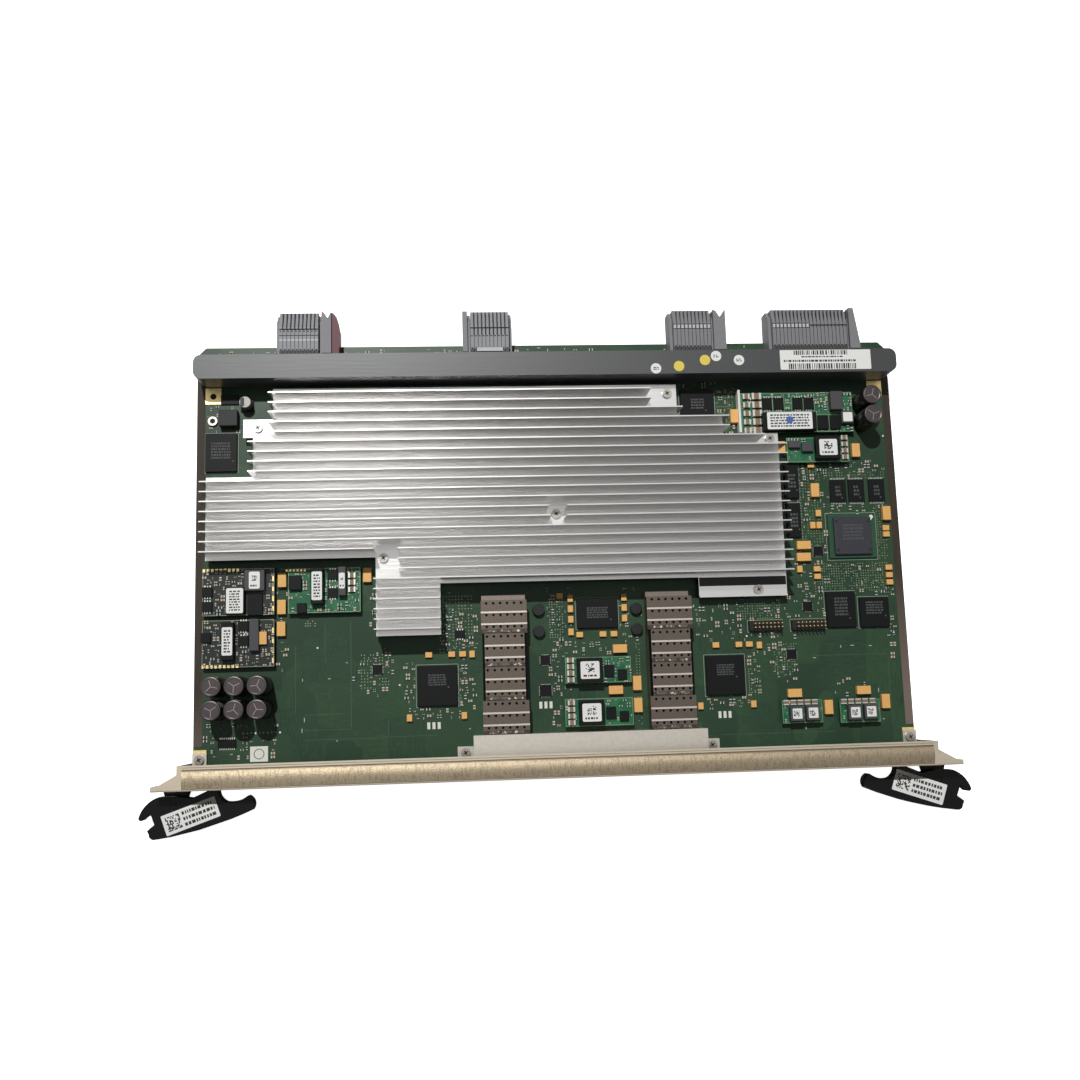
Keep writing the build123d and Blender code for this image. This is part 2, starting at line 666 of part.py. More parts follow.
# Heat sink: the stepped base plate, then fins cut to each step's width
with BuildPart() as heat_sink:
    with BuildSketch(Plane.XY.offset(sink_bottom)):
        for left, right, front, back in sink_steps + [sink_foot, sink_tab]:
            rectangle(left, right, front, back)
    extrude(amount=sink_base_thickness)
    with BuildSketch(Plane.XY.offset(sink_top)):
        for left, right, front, back in sink_steps:
            rows = range(round((first_fin - sink_front) / fin_pitch) + 6)
            for y in [first_fin - row * fin_pitch for row in rows]:
                if front + fin_thickness < y < back - fin_thickness:
                    rectangle(left, right, y - fin_thickness / 2, y + fin_thickness / 2)
        for left, right, front, back in corner_plates:
            with Locations(((left + right) / 2, (front + back) / 2)):
                Rectangle(right - left, back - front, mode=Mode.SUBTRACT)
        with Locations(sink_screws[1]):
            Circle(sink_screw_clearing, mode=Mode.SUBTRACT)
    extrude(amount=fin_height)
    with BuildSketch(Plane.XY.offset(sink_top)):
        rectangle(sink_foot[0], sink_foot[1], sink_foot[2], sink_foot[2] + sink_lip_height)
    extrude(amount=sink_lip_height)
    with Locations(*[(x, y, sink_top) for x, y in sink_screws]):
        Hole(screw_hole_radius)
heat_sink.part.label = "heat_sink"
export_step(heat_sink.part, "parts/heat_sink.step")

# Spacers between the board and the heat sink, one under each screw
with BuildPart() as heat_sink_spacers:
    with BuildSketch(Plane.XY.offset(top)):
        with Locations(*sink_screws):
            Circle(sink_spacer_radius)
            Circle(screw_hole_radius, mode=Mode.SUBTRACT)
    extrude(amount=sink_gap)
heat_sink_spacers.part.label = "heat_sink_spacers"
export_step(heat_sink_spacers.part, "parts/heat_sink_spacers.step")


# Pan-head screws, each with its head on a seat and its shank down to the board's underside
board_seats = [(x, bracket_screw_y, top + bracket_thickness) for x in bracket_centres]
board_seats += [(x, frame_ear_y, top + frame_ear_thickness) for x in ear_centres]
board_seats += [(earth_screw_at[0], earth_screw_at[1], top)]
sink_seats = [(x, y, sink_top) for x, y in sink_screws]
for name, seats in (("heat_sink_screws", sink_seats), ("board_screws", board_seats)):
    with BuildPart() as screws:
        for x, y, seat in seats:
            with Locations((x, y, seat)):
                Cylinder(screw_head_radius, screw_head_height, align=(Align.CENTER, Align.CENTER, Align.MIN))
                Cylinder(screw_radius, seat, align=(Align.CENTER, Align.CENTER, Align.MAX))
    screws.part.label = name
    export_step(screws.part, "parts/" + name + ".step")

# Processors under the heat sink, each with a thermal pad up to the base plate
with BuildPart() as sink_processors:
    with BuildSketch(Plane.XY.offset(top)):
        for x, y, chip_side in sink_chips_at:
            with Locations((x, y)):
                Rectangle(chip_side, chip_side)
    extrude(amount=sink_chip_height)
sink_processors.part.label = "sink_processors"
export_step(sink_processors.part, "parts/sink_processors.step")

with BuildPart() as thermal_pads:
    with BuildSketch(Plane.XY.offset(top + sink_chip_height)):
        for x, y, chip_side in sink_chips_at:
            with Locations((x, y)):
                Rectangle(chip_side - thermal_pad_inset, chip_side - thermal_pad_inset)
    extrude(amount=sink_gap - sink_chip_height)
thermal_pads.part.label = "thermal_pads"
export_step(thermal_pads.part, "parts/thermal_pads.step")

# Stiffener bar: an inverted channel with closed round ends and a boss over each screw
with BuildPart() as rear_stiffener:
    with BuildSketch(Plane.XY.offset(top)):
        with Locations((0, stiffener_y)):
            RectangleRounded(stiffener_length, stiffener_width, stiffener_end_radius)
    extrude(amount=stiffener_height)
    with BuildSketch(Plane.XY.offset(top)):
        with Locations((0, stiffener_y)):
            RectangleRounded(
                stiffener_length - 2 * stiffener_wall,
                stiffener_width - 2 * stiffener_wall,
                stiffener_end_radius - stiffener_wall,
            )
    extrude(amount=stiffener_height - stiffener_wall, mode=Mode.SUBTRACT)
    with BuildSketch(Plane.XY.offset(top)):
        with Locations(*stiffener_screws_at):
            Circle(stiffener_boss_radius)
    extrude(amount=stiffener_height - stiffener_wall)
    with BuildSketch(Plane.XY.offset(top)):
        with Locations(*stiffener_screws_at):
            Circle(screw_radius + thread_clearance)
    extrude(amount=stiffener_screw_reach + stiffener_screw_spare, mode=Mode.SUBTRACT)
rear_stiffener.part.label = "rear_stiffener"
export_step(rear_stiffener.part, "parts/rear_stiffener.step")

# Countersunk screws that hold the bar from below, flush with the board's underside
with BuildPart() as stiffener_screws:
    with Locations(*stiffener_screws_at):
        Cone(flat_head_radius, screw_hole_radius, flat_head_depth, align=(Align.CENTER, Align.CENTER, Align.MIN))
        Cylinder(screw_radius, top + stiffener_screw_reach, align=(Align.CENTER, Align.CENTER, Align.MIN))
stiffener_screws.part.label = "stiffener_screws"
export_step(stiffener_screws.part, "parts/stiffener_screws.step")


def wafer_outline():
    """One wafer seen from the side, with a shoulder, a sloping nose and a shield slot."""
    slot = connector_front + wafer_slot_from_front
    with BuildLine() as outline:
        Polyline(
            (connector_front, top),
            (connector_front, wafer_top - wafer_shoulder),
            (connector_front + wafer_shoulder, wafer_top),
            (slot, wafer_top),
            (slot, wafer_top - wafer_slot_depth),
            (slot + wafer_slot_width, wafer_top - wafer_slot_depth),
            (slot + wafer_slot_width, wafer_top),
            (connector_front + wafer_flat, wafer_top),
            (connector_back, wafer_top - wafer_nose_drop),
            (connector_back, top),
            close=True,
        )
    return outline.edges()


# Backplane connectors: a tray with end walls over the board's edge, and a stack of wafers in it
for name, first_wafer, wafer_count in connectors:
    stack_right = first_wafer + wafer_count * wafer_pitch
    with BuildPart() as tray:
        with BuildSketch(Plane.XY.offset(top - connector_floor)):
            rectangle(first_wafer - connector_wall, stack_right + connector_wall, rear_edge + 0.2, connector_back)
        extrude(amount=connector_floor)
        for wall_left in (first_wafer - connector_wall, stack_right):
            with BuildSketch(Plane.YZ.offset(wall_left)):
                rectangle(connector_front, connector_back, top, top + connector_wall_height)
            extrude(amount=connector_wall)
        chamfer(tray.edges().filter_by(Axis.X).group_by(Axis.Z)[-1].group_by(Axis.Y)[-1], connector_shoulder)
    tray.part.label = "connector_tray_" + name
    export_step(tray.part, "parts/connector_tray_" + name + ".step")

    with BuildPart() as wafers:
        for index in range(wafer_count):
            with BuildSketch(Plane.YZ.offset(first_wafer + index * wafer_pitch + wafer_gap / 2)):
                make_face(wafer_outline())
            extrude(amount=wafer_pitch - wafer_gap)
    wafers.part.label = "connector_wafers_" + name
    export_step(wafers.part, "parts/connector_wafers_" + name + ".step")

# Keyed blocks: solid guides beside the wafers, which let a connector in one way only
with BuildPart() as key_blocks:
    for left, steps in key_blocks_at.values():
        with BuildSketch(Plane.XY.offset(top)):
            with BuildLine():
                Polyline(
                    (left, connector_front),
                    *[(left + across, connector_front + back) for across, back in steps],
                    close=True,
                )
            make_face()
        extrude(amount=key_block_height)
key_blocks.part.label = "key_blocks"
export_step(key_blocks.part, "parts/key_blocks.step")

with BuildPart() as key_block_red:
    left, steps = red_key
    with BuildSketch(Plane.XY.offset(top)):
        with BuildLine():
            Polyline(
                (left, connector_front),
                *[(left + across, connector_front + back) for across, back in steps],
                close=True,
            )
        make_face()
    extrude(amount=red_key_height)
key_block_red.part.label = "key_block_red"
export_step(key_block_red.part, "parts/key_block_red.step")

# Standing capacitors: sleeved cans with a rolled groove above the seal
can_groups = {
    "bulk_capacitors": (bulk_centre, bulk_columns, bulk_pitch_x, bulk_rows, bulk_pitch_y, bulk_radius, bulk_height),
    "input_capacitors": (input_centre, 1, input_pitch, 2, input_pitch, input_radius, input_height),
}
for name, (centre, columns, pitch_x, rows, pitch_y, radius, height) in can_groups.items():
    with BuildPart() as cans:
        with BuildSketch(Plane.XY.offset(top)):
            with Locations(centre):
                with GridLocations(pitch_x, pitch_y, columns, rows):
                    Circle(radius)
        extrude(amount=height)
        with BuildSketch(Plane.XY.offset(top + can_groove_height)):
            with Locations(centre):
                with GridLocations(pitch_x, pitch_y, columns, rows):
                    Circle(radius)
                    Circle(radius - can_groove_depth, mode=Mode.SUBTRACT)
        extrude(amount=can_groove_width, mode=Mode.SUBTRACT)
    cans.part.label = name
    export_step(cans.part, "parts/" + name + ".step")

# Small surface-mounted can beside the left corner
with BuildPart() as small_can:
    with Locations((small_can_at[0], small_can_at[1], top)):
        Box(small_can_base, small_can_base, small_can_base_height, align=(Align.CENTER, Align.CENTER, Align.MIN))
        Cylinder(small_can_radius, small_can_height, align=(Align.CENTER, Align.CENTER, Align.MIN))
small_can.part.label = "small_can_capacitor"
export_step(small_can.part, "parts/small_can_capacitor.step")

# Power modules: small boards on pins, each with a moulded core through it
for name, modules in supply_modules.items():
    with BuildPart() as boards:
        for x, y, width, depth in modules:
            with BuildSketch(Plane.XY.offset(top + module_lift)):
                with Locations((x, y)):
                    Rectangle(width, depth)
            extrude(amount=module_board_thickness)
            with BuildSketch(Plane.XY.offset(top)):
                with Locations((x, y)):
                    with GridLocations(width - 2 * module_pin_inset, depth - 2 * module_pin_inset, 2, 2):
                        Circle(module_pin_radius)
            extrude(amount=module_lift)
    boards.part.label = name + "_boards"
    export_step(boards.part, "parts/" + name + "_boards.step")

for name, parts in module_parts.items():
    with BuildPart() as fitted:
        for x, y, width, depth, height in parts:
            with Locations((x, y, top + module_lift + module_board_thickness)):
                Box(width, depth, height, align=(Align.CENTER, Align.CENTER, Align.MIN))
    fitted.part.label = name
    export_step(fitted.part, "parts/" + name + ".step")

# Flat chip packages, tantalum capacitors, chokes and pin headers on the board's top face
for name, (height, places) in flat_parts.items():
    with BuildPart() as packages:
        for x, y, width, depth in places:
            with Locations((x, y, top)):
                Box(width, depth, height, align=(Align.CENTER, Align.CENTER, Align.MIN))
    packages.part.label = name
    export_step(packages.part, "parts/" + name + ".step")

# Processor lid on its substrate
with BuildPart() as processor_lid:
    with BuildSketch(Plane.XY.offset(top + substrate_height)):
        with Locations(processor_at):
            Rectangle(processor_lid_side, processor_lid_side)
    extrude(amount=processor_lid_height)
    chamfer(processor_lid.edges().group_by(Axis.Z)[-1], processor_lid_chamfer)
processor_lid.part.label = "processor_lid"
export_step(processor_lid.part, "parts/processor_lid.step")

# Round chokes, and a square one at the left rear corner
with BuildPart() as chokes:
    with Locations(*[(x, y, top) for x, y in chokes_at]):
        Cylinder(choke_radius, choke_height, align=(Align.CENTER, Align.CENTER, Align.MIN))
    with Locations((square_choke[0], square_choke[1], top)):
        Box(*square_choke[2:], align=(Align.CENTER, Align.CENTER, Align.MIN))
chokes.part.label = "chokes"
export_step(chokes.part, "parts/chokes.step")

# Pin headers: two rows of pins standing in a moulded strip
with BuildPart() as header_pins:
    for x, y in headers_at:
        with Locations((x, y, top + header_strip_height)):
            with GridLocations(header_pitch, header_pitch, header_columns, 2):
                Box(header_pin, header_pin, header_pin_height, align=(Align.CENTER, Align.CENTER, Align.MIN))
header_pins.part.label = "header_pins"
export_step(header_pins.part, "parts/header_pins.step")
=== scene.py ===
import math
import random

import bmesh
import bpy
from mathutils import Matrix, Vector
from mathutils.bvhtree import BVHTree


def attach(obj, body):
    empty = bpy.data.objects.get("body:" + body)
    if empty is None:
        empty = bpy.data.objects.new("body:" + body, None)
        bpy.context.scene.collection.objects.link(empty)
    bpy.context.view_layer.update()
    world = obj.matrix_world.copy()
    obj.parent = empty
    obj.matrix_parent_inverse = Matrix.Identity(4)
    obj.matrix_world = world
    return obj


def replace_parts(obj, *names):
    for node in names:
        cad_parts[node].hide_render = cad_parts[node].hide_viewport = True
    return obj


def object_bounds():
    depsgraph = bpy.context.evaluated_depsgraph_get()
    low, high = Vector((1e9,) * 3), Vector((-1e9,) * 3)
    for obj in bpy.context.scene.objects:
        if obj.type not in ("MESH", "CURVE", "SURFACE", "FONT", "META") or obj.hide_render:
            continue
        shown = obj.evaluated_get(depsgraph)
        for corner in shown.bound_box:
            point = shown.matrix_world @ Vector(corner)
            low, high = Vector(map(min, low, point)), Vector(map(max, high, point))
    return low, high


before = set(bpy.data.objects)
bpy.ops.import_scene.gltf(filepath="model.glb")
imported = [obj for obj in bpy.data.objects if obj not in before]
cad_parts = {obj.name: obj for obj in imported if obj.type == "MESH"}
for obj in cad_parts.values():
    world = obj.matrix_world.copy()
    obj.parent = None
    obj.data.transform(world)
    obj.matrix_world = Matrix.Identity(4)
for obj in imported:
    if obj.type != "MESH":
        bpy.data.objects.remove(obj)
cad_low, cad_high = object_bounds()
mm = 0.001


# Circuit board. A thick glass and epoxy laminate with a dark green solder mask over its copper,
# screwed to the rear bar and the corner brackets.
def linear(red, green, blue):
    """A screen colour, 0 to 255, turned into the light values that a shader wants."""
    channels = [channel / 255 for channel in (red, green, blue)]
    return tuple(c / 12.92 if c <= 0.04045 else ((c + 0.055) / 1.055) ** 2.4 for c in channels) + (1.0,)


def add_node(tree, kind, **settings):
    """Adds one node. A setting that names an input goes to its socket, any other to the node itself."""
    node = tree.nodes.new(kind)
    for name, value in settings.items():
        if hasattr(node, name):
            setattr(node, name, value)
        else:
            node.inputs[name.replace("_", " ")].default_value = value
    return node


def feed(tree, value, socket):
    """Sets a socket to a plain number, or links another socket to it."""
    if isinstance(value, (int, float)):
        socket.default_value = value
    else:
        tree.links.new(value, socket)


def maths(tree, operation, first, second, clamp=False):
    """A maths node fed by two sockets or plain numbers, and its output socket."""
    node = add_node(tree, "ShaderNodeMath", operation=operation, use_clamp=clamp)
    feed(tree, first, node.inputs[0])
    feed(tree, second, node.inputs[1])
    return node.outputs[0]


def new_group(name, inputs, outputs):
    """An empty node group, with float inputs by name and value, and outputs by name and kind."""
    tree = bpy.data.node_groups.new(name, "ShaderNodeTree")
    for socket, value in inputs.items():
        tree.interface.new_socket(socket, in_out="INPUT", socket_type="NodeSocketFloat").default_value = value
    for socket, kind in outputs.items():
        tree.interface.new_socket(socket, in_out="OUTPUT", socket_type=kind)
    return tree, tree.nodes.new("NodeGroupInput"), tree.nodes.new("NodeGroupOutput")


def object_axes(tree):
    """The X, Y and Z of the Object coordinates, in metres."""
    where = add_node(tree, "ShaderNodeTexCoord")
    axes = add_node(tree, "ShaderNodeSeparateXYZ")
    tree.links.new(where.outputs["Object"], axes.inputs[0])
    return axes.outputs


def stretched_place(tree, along_x=1.0, along_y=1.0):
    """Object coordinates divided by a stretch in x and in y."""
    where = add_node(tree, "ShaderNodeTexCoord")
    stretch = add_node(tree, "ShaderNodeCombineXYZ", Z=1.0)
    feed(tree, along_x, stretch.inputs["X"])
    feed(tree, along_y, stretch.inputs["Y"])
    divided = add_node(tree, "ShaderNodeVectorMath", operation="DIVIDE")
    tree.links.new(where.outputs["Object"], divided.inputs[0])
    tree.links.new(stretch.outputs[0], divided.inputs[1])
    return divided.outputs[0]


grain, grain_in, grain_out = new_group(
    "grain",
    {"Size mm": 1.0, "Stretch X": 1.0, "Stretch Y": 1.0, "Contrast": 0.2, "Bump": 0.1},
    {"Shade": "NodeSocketFloat", "Normal": "NodeSocketVector"})
cloud = add_node(grain, "ShaderNodeTexNoise", Detail=4.0, Roughness=0.6)
place = stretched_place(grain, grain_in.outputs["Stretch X"], grain_in.outputs["Stretch Y"])
grain.links.new(place, cloud.inputs["Vector"])
grain.links.new(maths(grain, "DIVIDE", 1 / mm, grain_in.outputs["Size mm"]), cloud.inputs["Scale"])
shade = maths(grain, "SUBTRACT", cloud.outputs["Fac"], 0.5)
shade = maths(grain, "MULTIPLY", shade, grain_in.outputs["Contrast"])
shade = maths(grain, "ADD", maths(grain, "MULTIPLY", shade, 2.0), 1.0)
grain.links.new(shade, grain_out.inputs["Shade"])
relief = add_node(grain, "ShaderNodeBump", Distance=0.2 * mm)
grain.links.new(grain_in.outputs["Bump"], relief.inputs["Strength"])
grain.links.new(cloud.outputs["Fac"], relief.inputs["Height"])
grain.links.new(relief.outputs[0], grain_out.inputs["Normal"])


def place_group(material, group, **values):
    """Places a group in a material, with its own values on the group's sockets."""
    node = material.node_tree.nodes.new("ShaderNodeGroup")
    node.node_tree = group
    for name, value in values.items():
        node.inputs[name.replace("_", " ")].default_value = value
    return node


def finish(name, colour, rough=0.5, metal=0.0, size=1.0, stretch=(1.0, 1.0), contrast=0.2, bump=0.1,
           shine=0.2):
    """A material whose colour wavers with the grain. Its shine is low, as on dusty and moulded parts."""
    material = bpy.data.materials.new(name)
    material.use_nodes = True
    tree = material.node_tree
    shader = tree.nodes["Principled BSDF"]
    shader.inputs["Roughness"].default_value = rough
    shader.inputs["Metallic"].default_value = metal
    shader.inputs["Specular IOR Level"].default_value = shine
    waver = place_group(material, grain, Size_mm=size, Stretch_X=stretch[0], Stretch_Y=stretch[1],
                        Contrast=contrast, Bump=bump)
    tint = add_node(tree, "ShaderNodeVectorMath", operation="SCALE")
    tint.inputs[0].default_value = linear(*colour)[:3]
    tree.links.new(waver.outputs["Shade"], tint.inputs["Scale"])
    tree.links.new(tint.outputs[0], shader.inputs["Base Color"])
    tree.links.new(waver.outputs["Normal"], shader.inputs["Normal"])
    return material


def tint_by(material, mask, colour):
    """Mixes one more colour into a finish where a mask is 1, in front of what colours it now."""
    tree = material.node_tree
    shader = tree.nodes["Principled BSDF"]
    mix = add_node(tree, "ShaderNodeMix", data_type="RGBA")
    tree.links.new(mask, mix.inputs["Factor"])
    tree.links.new(shader.inputs["Base Color"].links[0].from_socket, mix.inputs[6])
    mix.inputs[7].default_value = linear(*colour)
    tree.links.new(mix.outputs[2], shader.inputs["Base Color"])


def dress(node, material):
    """Gives a CAD node its material."""
    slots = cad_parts[node].data.materials
    slots.clear()
    slots.append(material)


copper, copper_in, copper_out = new_group(
    "copper_under_mask", {"Pitch mm": 0.9, "Zone mm": 14.0},
    {"Traces": "NodeSocketFloat", "Planes": "NodeSocketFloat"})
zones = add_node(copper, "ShaderNodeTexVoronoi", distance="CHEBYCHEV")
copper.links.new(stretched_place(copper), zones.inputs["Vector"])
copper.links.new(maths(copper, "DIVIDE", 1 / mm, copper_in.outputs["Zone mm"]), zones.inputs["Scale"])
zone_tone = add_node(copper, "ShaderNodeSeparateColor")
copper.links.new(zones.outputs["Color"], zone_tone.inputs[0])
line_width, share_with_traces, share_with_plane = 0.07, 0.38, 0.45
runs = []
for along_x, along_y, channel in ((6, 1, "Red"), (1, 6, "Green")):
    lines = add_node(copper, "ShaderNodeTexVoronoi", feature="DISTANCE_TO_EDGE", distance="EUCLIDEAN")
    copper.links.new(stretched_place(copper, along_x, along_y), lines.inputs["Vector"])
    copper.links.new(maths(copper, "DIVIDE", 1 / mm, copper_in.outputs["Pitch mm"]), lines.inputs["Scale"])
    thin = maths(copper, "LESS_THAN", lines.outputs["Distance"], line_width)
    here = maths(copper, "GREATER_THAN", zone_tone.outputs[channel], 1 - share_with_traces)
    runs.append(maths(copper, "MULTIPLY", thin, here))
copper.links.new(maths(copper, "MAXIMUM", runs[0], runs[1]), copper_out.inputs["Traces"])
plane = maths(copper, "GREATER_THAN", zone_tone.outputs["Blue"], 1 - share_with_plane)
copper.links.new(plane, copper_out.inputs["Planes"])

solder_mask = finish("solder_mask", (42, 64, 47), rough=0.34, size=30.0, contrast=0.3, bump=0.0, shine=0.14)
under_mask = place_group(solder_mask, copper, Pitch_mm=1.6, Zone_mm=22.0)
mask_tree = solder_mask.node_tree
tint_by(solder_mask, maths(mask_tree, "MULTIPLY", under_mask.outputs["Planes"], 0.13), (74, 100, 66))
tint_by(solder_mask, maths(mask_tree, "MULTIPLY", under_mask.outputs["Traces"], 0.07), (92, 124, 92))
dress("main_board", solder_mask)


# Bare laminate. Both side edges of the board are milled down to slide in card guides, and show brown.
# They turn paler towards the front, and sooner on the right than on the left.
def new_piece(name, shape, materials, body="card"):
    """Turns a finished bmesh into a piece that rides on a body of the card."""
    bmesh.ops.recalc_face_normals(shape, faces=shape.faces)
    data = bpy.data.meshes.new(name)
    shape.to_mesh(data)
    shape.free()
    piece = bpy.data.objects.new(name, data)
    for material in materials if isinstance(materials, (list, tuple)) else [materials]:
        data.materials.append(material)
    bpy.context.scene.collection.objects.link(piece)
    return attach(piece, body)


def paint(verts, slot):
    """Gives the faces round some new vertices a material slot."""
    for face in {face for vert in verts for face in vert.link_faces}:
        face.material_index = slot


def add_box(shape, x, y, z, width, depth, height, turn=0.0, slot=0):
    """A box standing on height z with its centre at x and y, all in millimetres."""
    spot = Matrix.Translation((x * mm, y * mm, (z + height / 2) * mm))
    turning = Matrix.Rotation(math.radians(turn), 4, "Z")
    size = Matrix.Diagonal((width * mm, depth * mm, height * mm, 1.0))
    verts = bmesh.ops.create_cube(shape, size=1.0, matrix=spot @ turning @ size)["verts"]
    paint(verts, slot)
    return verts


def add_round(shape, x, y, z, radius, height, sides=24, slot=0):
    """A round post standing on height z, all in millimetres."""
    verts = bmesh.ops.create_cone(
        shape, cap_ends=True, segments=sides, radius1=radius * mm, radius2=radius * mm, depth=height * mm,
        matrix=Matrix.Translation((x * mm, y * mm, (z + height / 2) * mm)))["verts"]
    paint(verts, slot)
    return verts


board_top, milled_top = 2.4, 1.6
plating = 0.03
bare_laminate = finish("bare_laminate", (50, 43, 34), rough=0.6, size=2.5, stretch=(1.0, 8.0), contrast=0.5)
laminate_tree = bare_laminate.node_tree
laminate_at = object_axes(laminate_tree)
slant = maths(laminate_tree, "MULTIPLY", laminate_at["X"], 0.15)
behind = maths(laminate_tree, "SUBTRACT", maths(laminate_tree, "ADD", laminate_at["Y"], 40.0 * mm), slant)
tint_by(bare_laminate, maths(laminate_tree, "MULTIPLY", behind, -16.0, clamp=True), (116, 103, 95))
shape = bmesh.new()
for side in (-1, 1):
    add_box(shape, side * 181.1, 6.0, milled_top, 4.4, 201.0, plating)
new_piece("milled_edges", shape, bare_laminate)

# Pads round the mounting holes: copper under thin gold plating, left bare of solder mask. The two rear
# holes have dark discs of painted shade in their mouths.
gold_plate = finish("gold_plate", (206, 184, 128), rough=0.32, metal=0.8, size=1.2, contrast=0.35)
shape = bmesh.new()
for x, y, width, depth in (
        (-175, 84.2, 8, 8.4), (175, 84.2, 8, 8.4), (-180, -102, 6.6, 11.6), (180, -102, 6.6, 11.6)):
    add_box(shape, x, y, board_top, width, depth, plating)
new_piece("gold_pads", shape, gold_plate)
# Painted shade: flat dark discs in the mouths of the two rear holes.
hole_painted_shade = finish("hole_painted_shade", (16, 16, 14), rough=0.8)
shape = bmesh.new()
for side in (-1, 1):
    add_round(shape, side * 175.0, 84.0, board_top + plating, 1.6, 0.01)
new_piece("corner_hole_mouth_shade", shape, hole_painted_shade)


# Small surface-mounted parts: ceramic capacitors with tinned ends, and thin black resistors, placed
# by machine wherever the board is bare, in groups round the chips that they serve. A grid of taken cells
# keeps them off each other and off what is set one by one.
not_a_level = -9.0
shape = bmesh.new()
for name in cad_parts:
    shape.from_mesh(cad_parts[name].data)
solid_tree = BVHTree.FromBMesh(shape)
shape.free()


def level_at(x, y):
    """The height of whatever lies uppermost at a place, in millimetres."""
    hit = solid_tree.ray_cast(Vector((x * mm, y * mm, 0.05)), Vector((0, 0, -1)))[0]
    return not_a_level if hit is None else hit.z / mm


taken = set()
cell = 0.8


def cell_at(x, y):
    """The grid cell that holds a place."""
    return round(x / cell), round(y / cell)


def reserve(x, y, width, depth):
    """Keeps small parts off a place that is filled by something set one by one."""
    for step_x in range(int(width / cell) + 2):
        for step_y in range(int(depth / cell) + 2):
            taken.add(cell_at(x - width / 2 + step_x * cell, y - depth / 2 + step_y * cell))


for spot in (
        (-150.9, -99, 9.2, 8), (-64.1, -87.8, 8, 4), (84.5, -86.8, 8, 4), (-7.3, -79.2, 8, 4),
        (-149.7, -88.7, 21, 2), (-180, -99.5, 8, 9), (180, -99.5, 8, 9), (-166.5, -93.5, 10.5, 8),
        (-175, 84.2, 9, 9), (175, 84.2, 9, 9), (99.8, 71.5, 2, 23)):
    reserve(*spot)


def is_free(x, y, half_x, half_y, level):
    """True where a small part lies flat on that level, clear of the larger parts and of the last ones."""
    corners = [(x + i * half_x, y + j * half_y) for i in (-1, 0, 1) for j in (-1, 0, 1)]
    unevenness = 0.06
    if any(abs(level_at(*corner) - level) > unevenness for corner in corners):
        return False
    cells = {cell_at(*corner) for corner in corners}
    if cells & taken:
        return False
    taken.update(cells)
    return True


ceramic_tan = finish("ceramic_tan", (150, 120, 92), size=0.6, contrast=0.25)
tinned = finish("tinned", (172, 172, 166), rough=0.36, metal=0.8, size=0.5)
film_black = finish("film_black", (34, 34, 36), size=0.6)
tinned_pale = finish("tinned_pale", (196, 198, 190), size=0.5)


def add_chip_part(shape, x, y, level, length, width, height, upright=False, body_slot=0):
    """One small part: a body with a tinned cap on each end."""
    end = length * 0.24
    body_length, body_width, body_height = length - 2 * end, width * 0.96, height * 0.96
    across, along = (body_width, body_length) if upright else (body_length, body_width)
    add_box(shape, x, y, level, across, along, body_height, slot=body_slot)
    for side in (-1, 1):
        offset = side * (length - end) / 2
        if upright:
            add_box(shape, x, y + offset, level, width, end, height, slot=2)
        else:
            add_box(shape, x + offset, y, level, end, width, height, slot=2)


case_sizes = ((1.6, 0.8), (1.0, 0.5), (2.0, 1.25))
courtyard = 0.3


def scatter(shape, seed, left, right, front, back, count, level=board_top):
    """Sets small parts in a field, in short straight rows as a layout tool would."""
    draw = random.Random(seed)
    placed = 0
    for attempt in range(count * 6):
        if placed >= count:
            return
        length, width = draw.choice(case_sizes)
        upright = draw.random() < 0.5
        body_slot = 0 if draw.random() < 0.6 else 1
        x, y = round(draw.uniform(left, right) / 0.4) * 0.4, round(draw.uniform(front, back) / 0.4) * 0.4
        pitch = width + 2 * courtyard
        across, along = (width, length) if upright else (length, width)
        for step in range(draw.choice((1, 2, 3, 4))):
            px, py = (x + step * pitch, y) if upright else (x, y - step * pitch)
            half_x, half_y = (across + courtyard) / 2, (along + courtyard) / 2
            if px > right or py < front or not is_free(px, py, half_x, half_y, level):
                break
            add_chip_part(shape, px, py, level, length, width, width * 0.55, upright, body_slot)
            placed += 1


shape = bmesh.new()
fields = [
    (98, 104.5, -78, -55, 22), (76, 100, -84.5, -78.5, 16), (-4.5, 6, -90, -46, 34),
    (-50, -43, -80, -54, 18), (-78.5, -73.5, -82, -55, 16), (-73, -50, -85, -79.5, 16),
    (-62, -41, -51, -30, 26), (70, 112, -50, -29, 44), (108, 140, -38, -20, 34),
    (126, 146, -22, 46, 40), (142, 178, 36, 45, 24), (143, 178, 16.5, 21.5, 14),
    (106, 124, -72, -46, 26), (-104, -84, -72, -46, 24), (-178, -142, -101, -84, 34),
    (-8, 9, -50, -20, 20), (32, 44, -48, -20, 14), (172, 178, -60, -22, 10),
    (62, 100, 60, 88, 30), (-178, -160, 62, 88, 10), (-178, 100, 102.6, 108, 60),
    (142, 160, -80, -70, 5), (8, 34, -55, -46, 14), (-142, -137, -60, -6, 10),
    (-96, -93, -40, -16, 6), (130, 180, -27, -9, 26),
]
for seed, (left, right, front, back, count) in enumerate(fields):
    scatter(shape, seed, left, right, front, back, count)
new_piece("small_parts", shape, (ceramic_tan, film_black, tinned_pale))

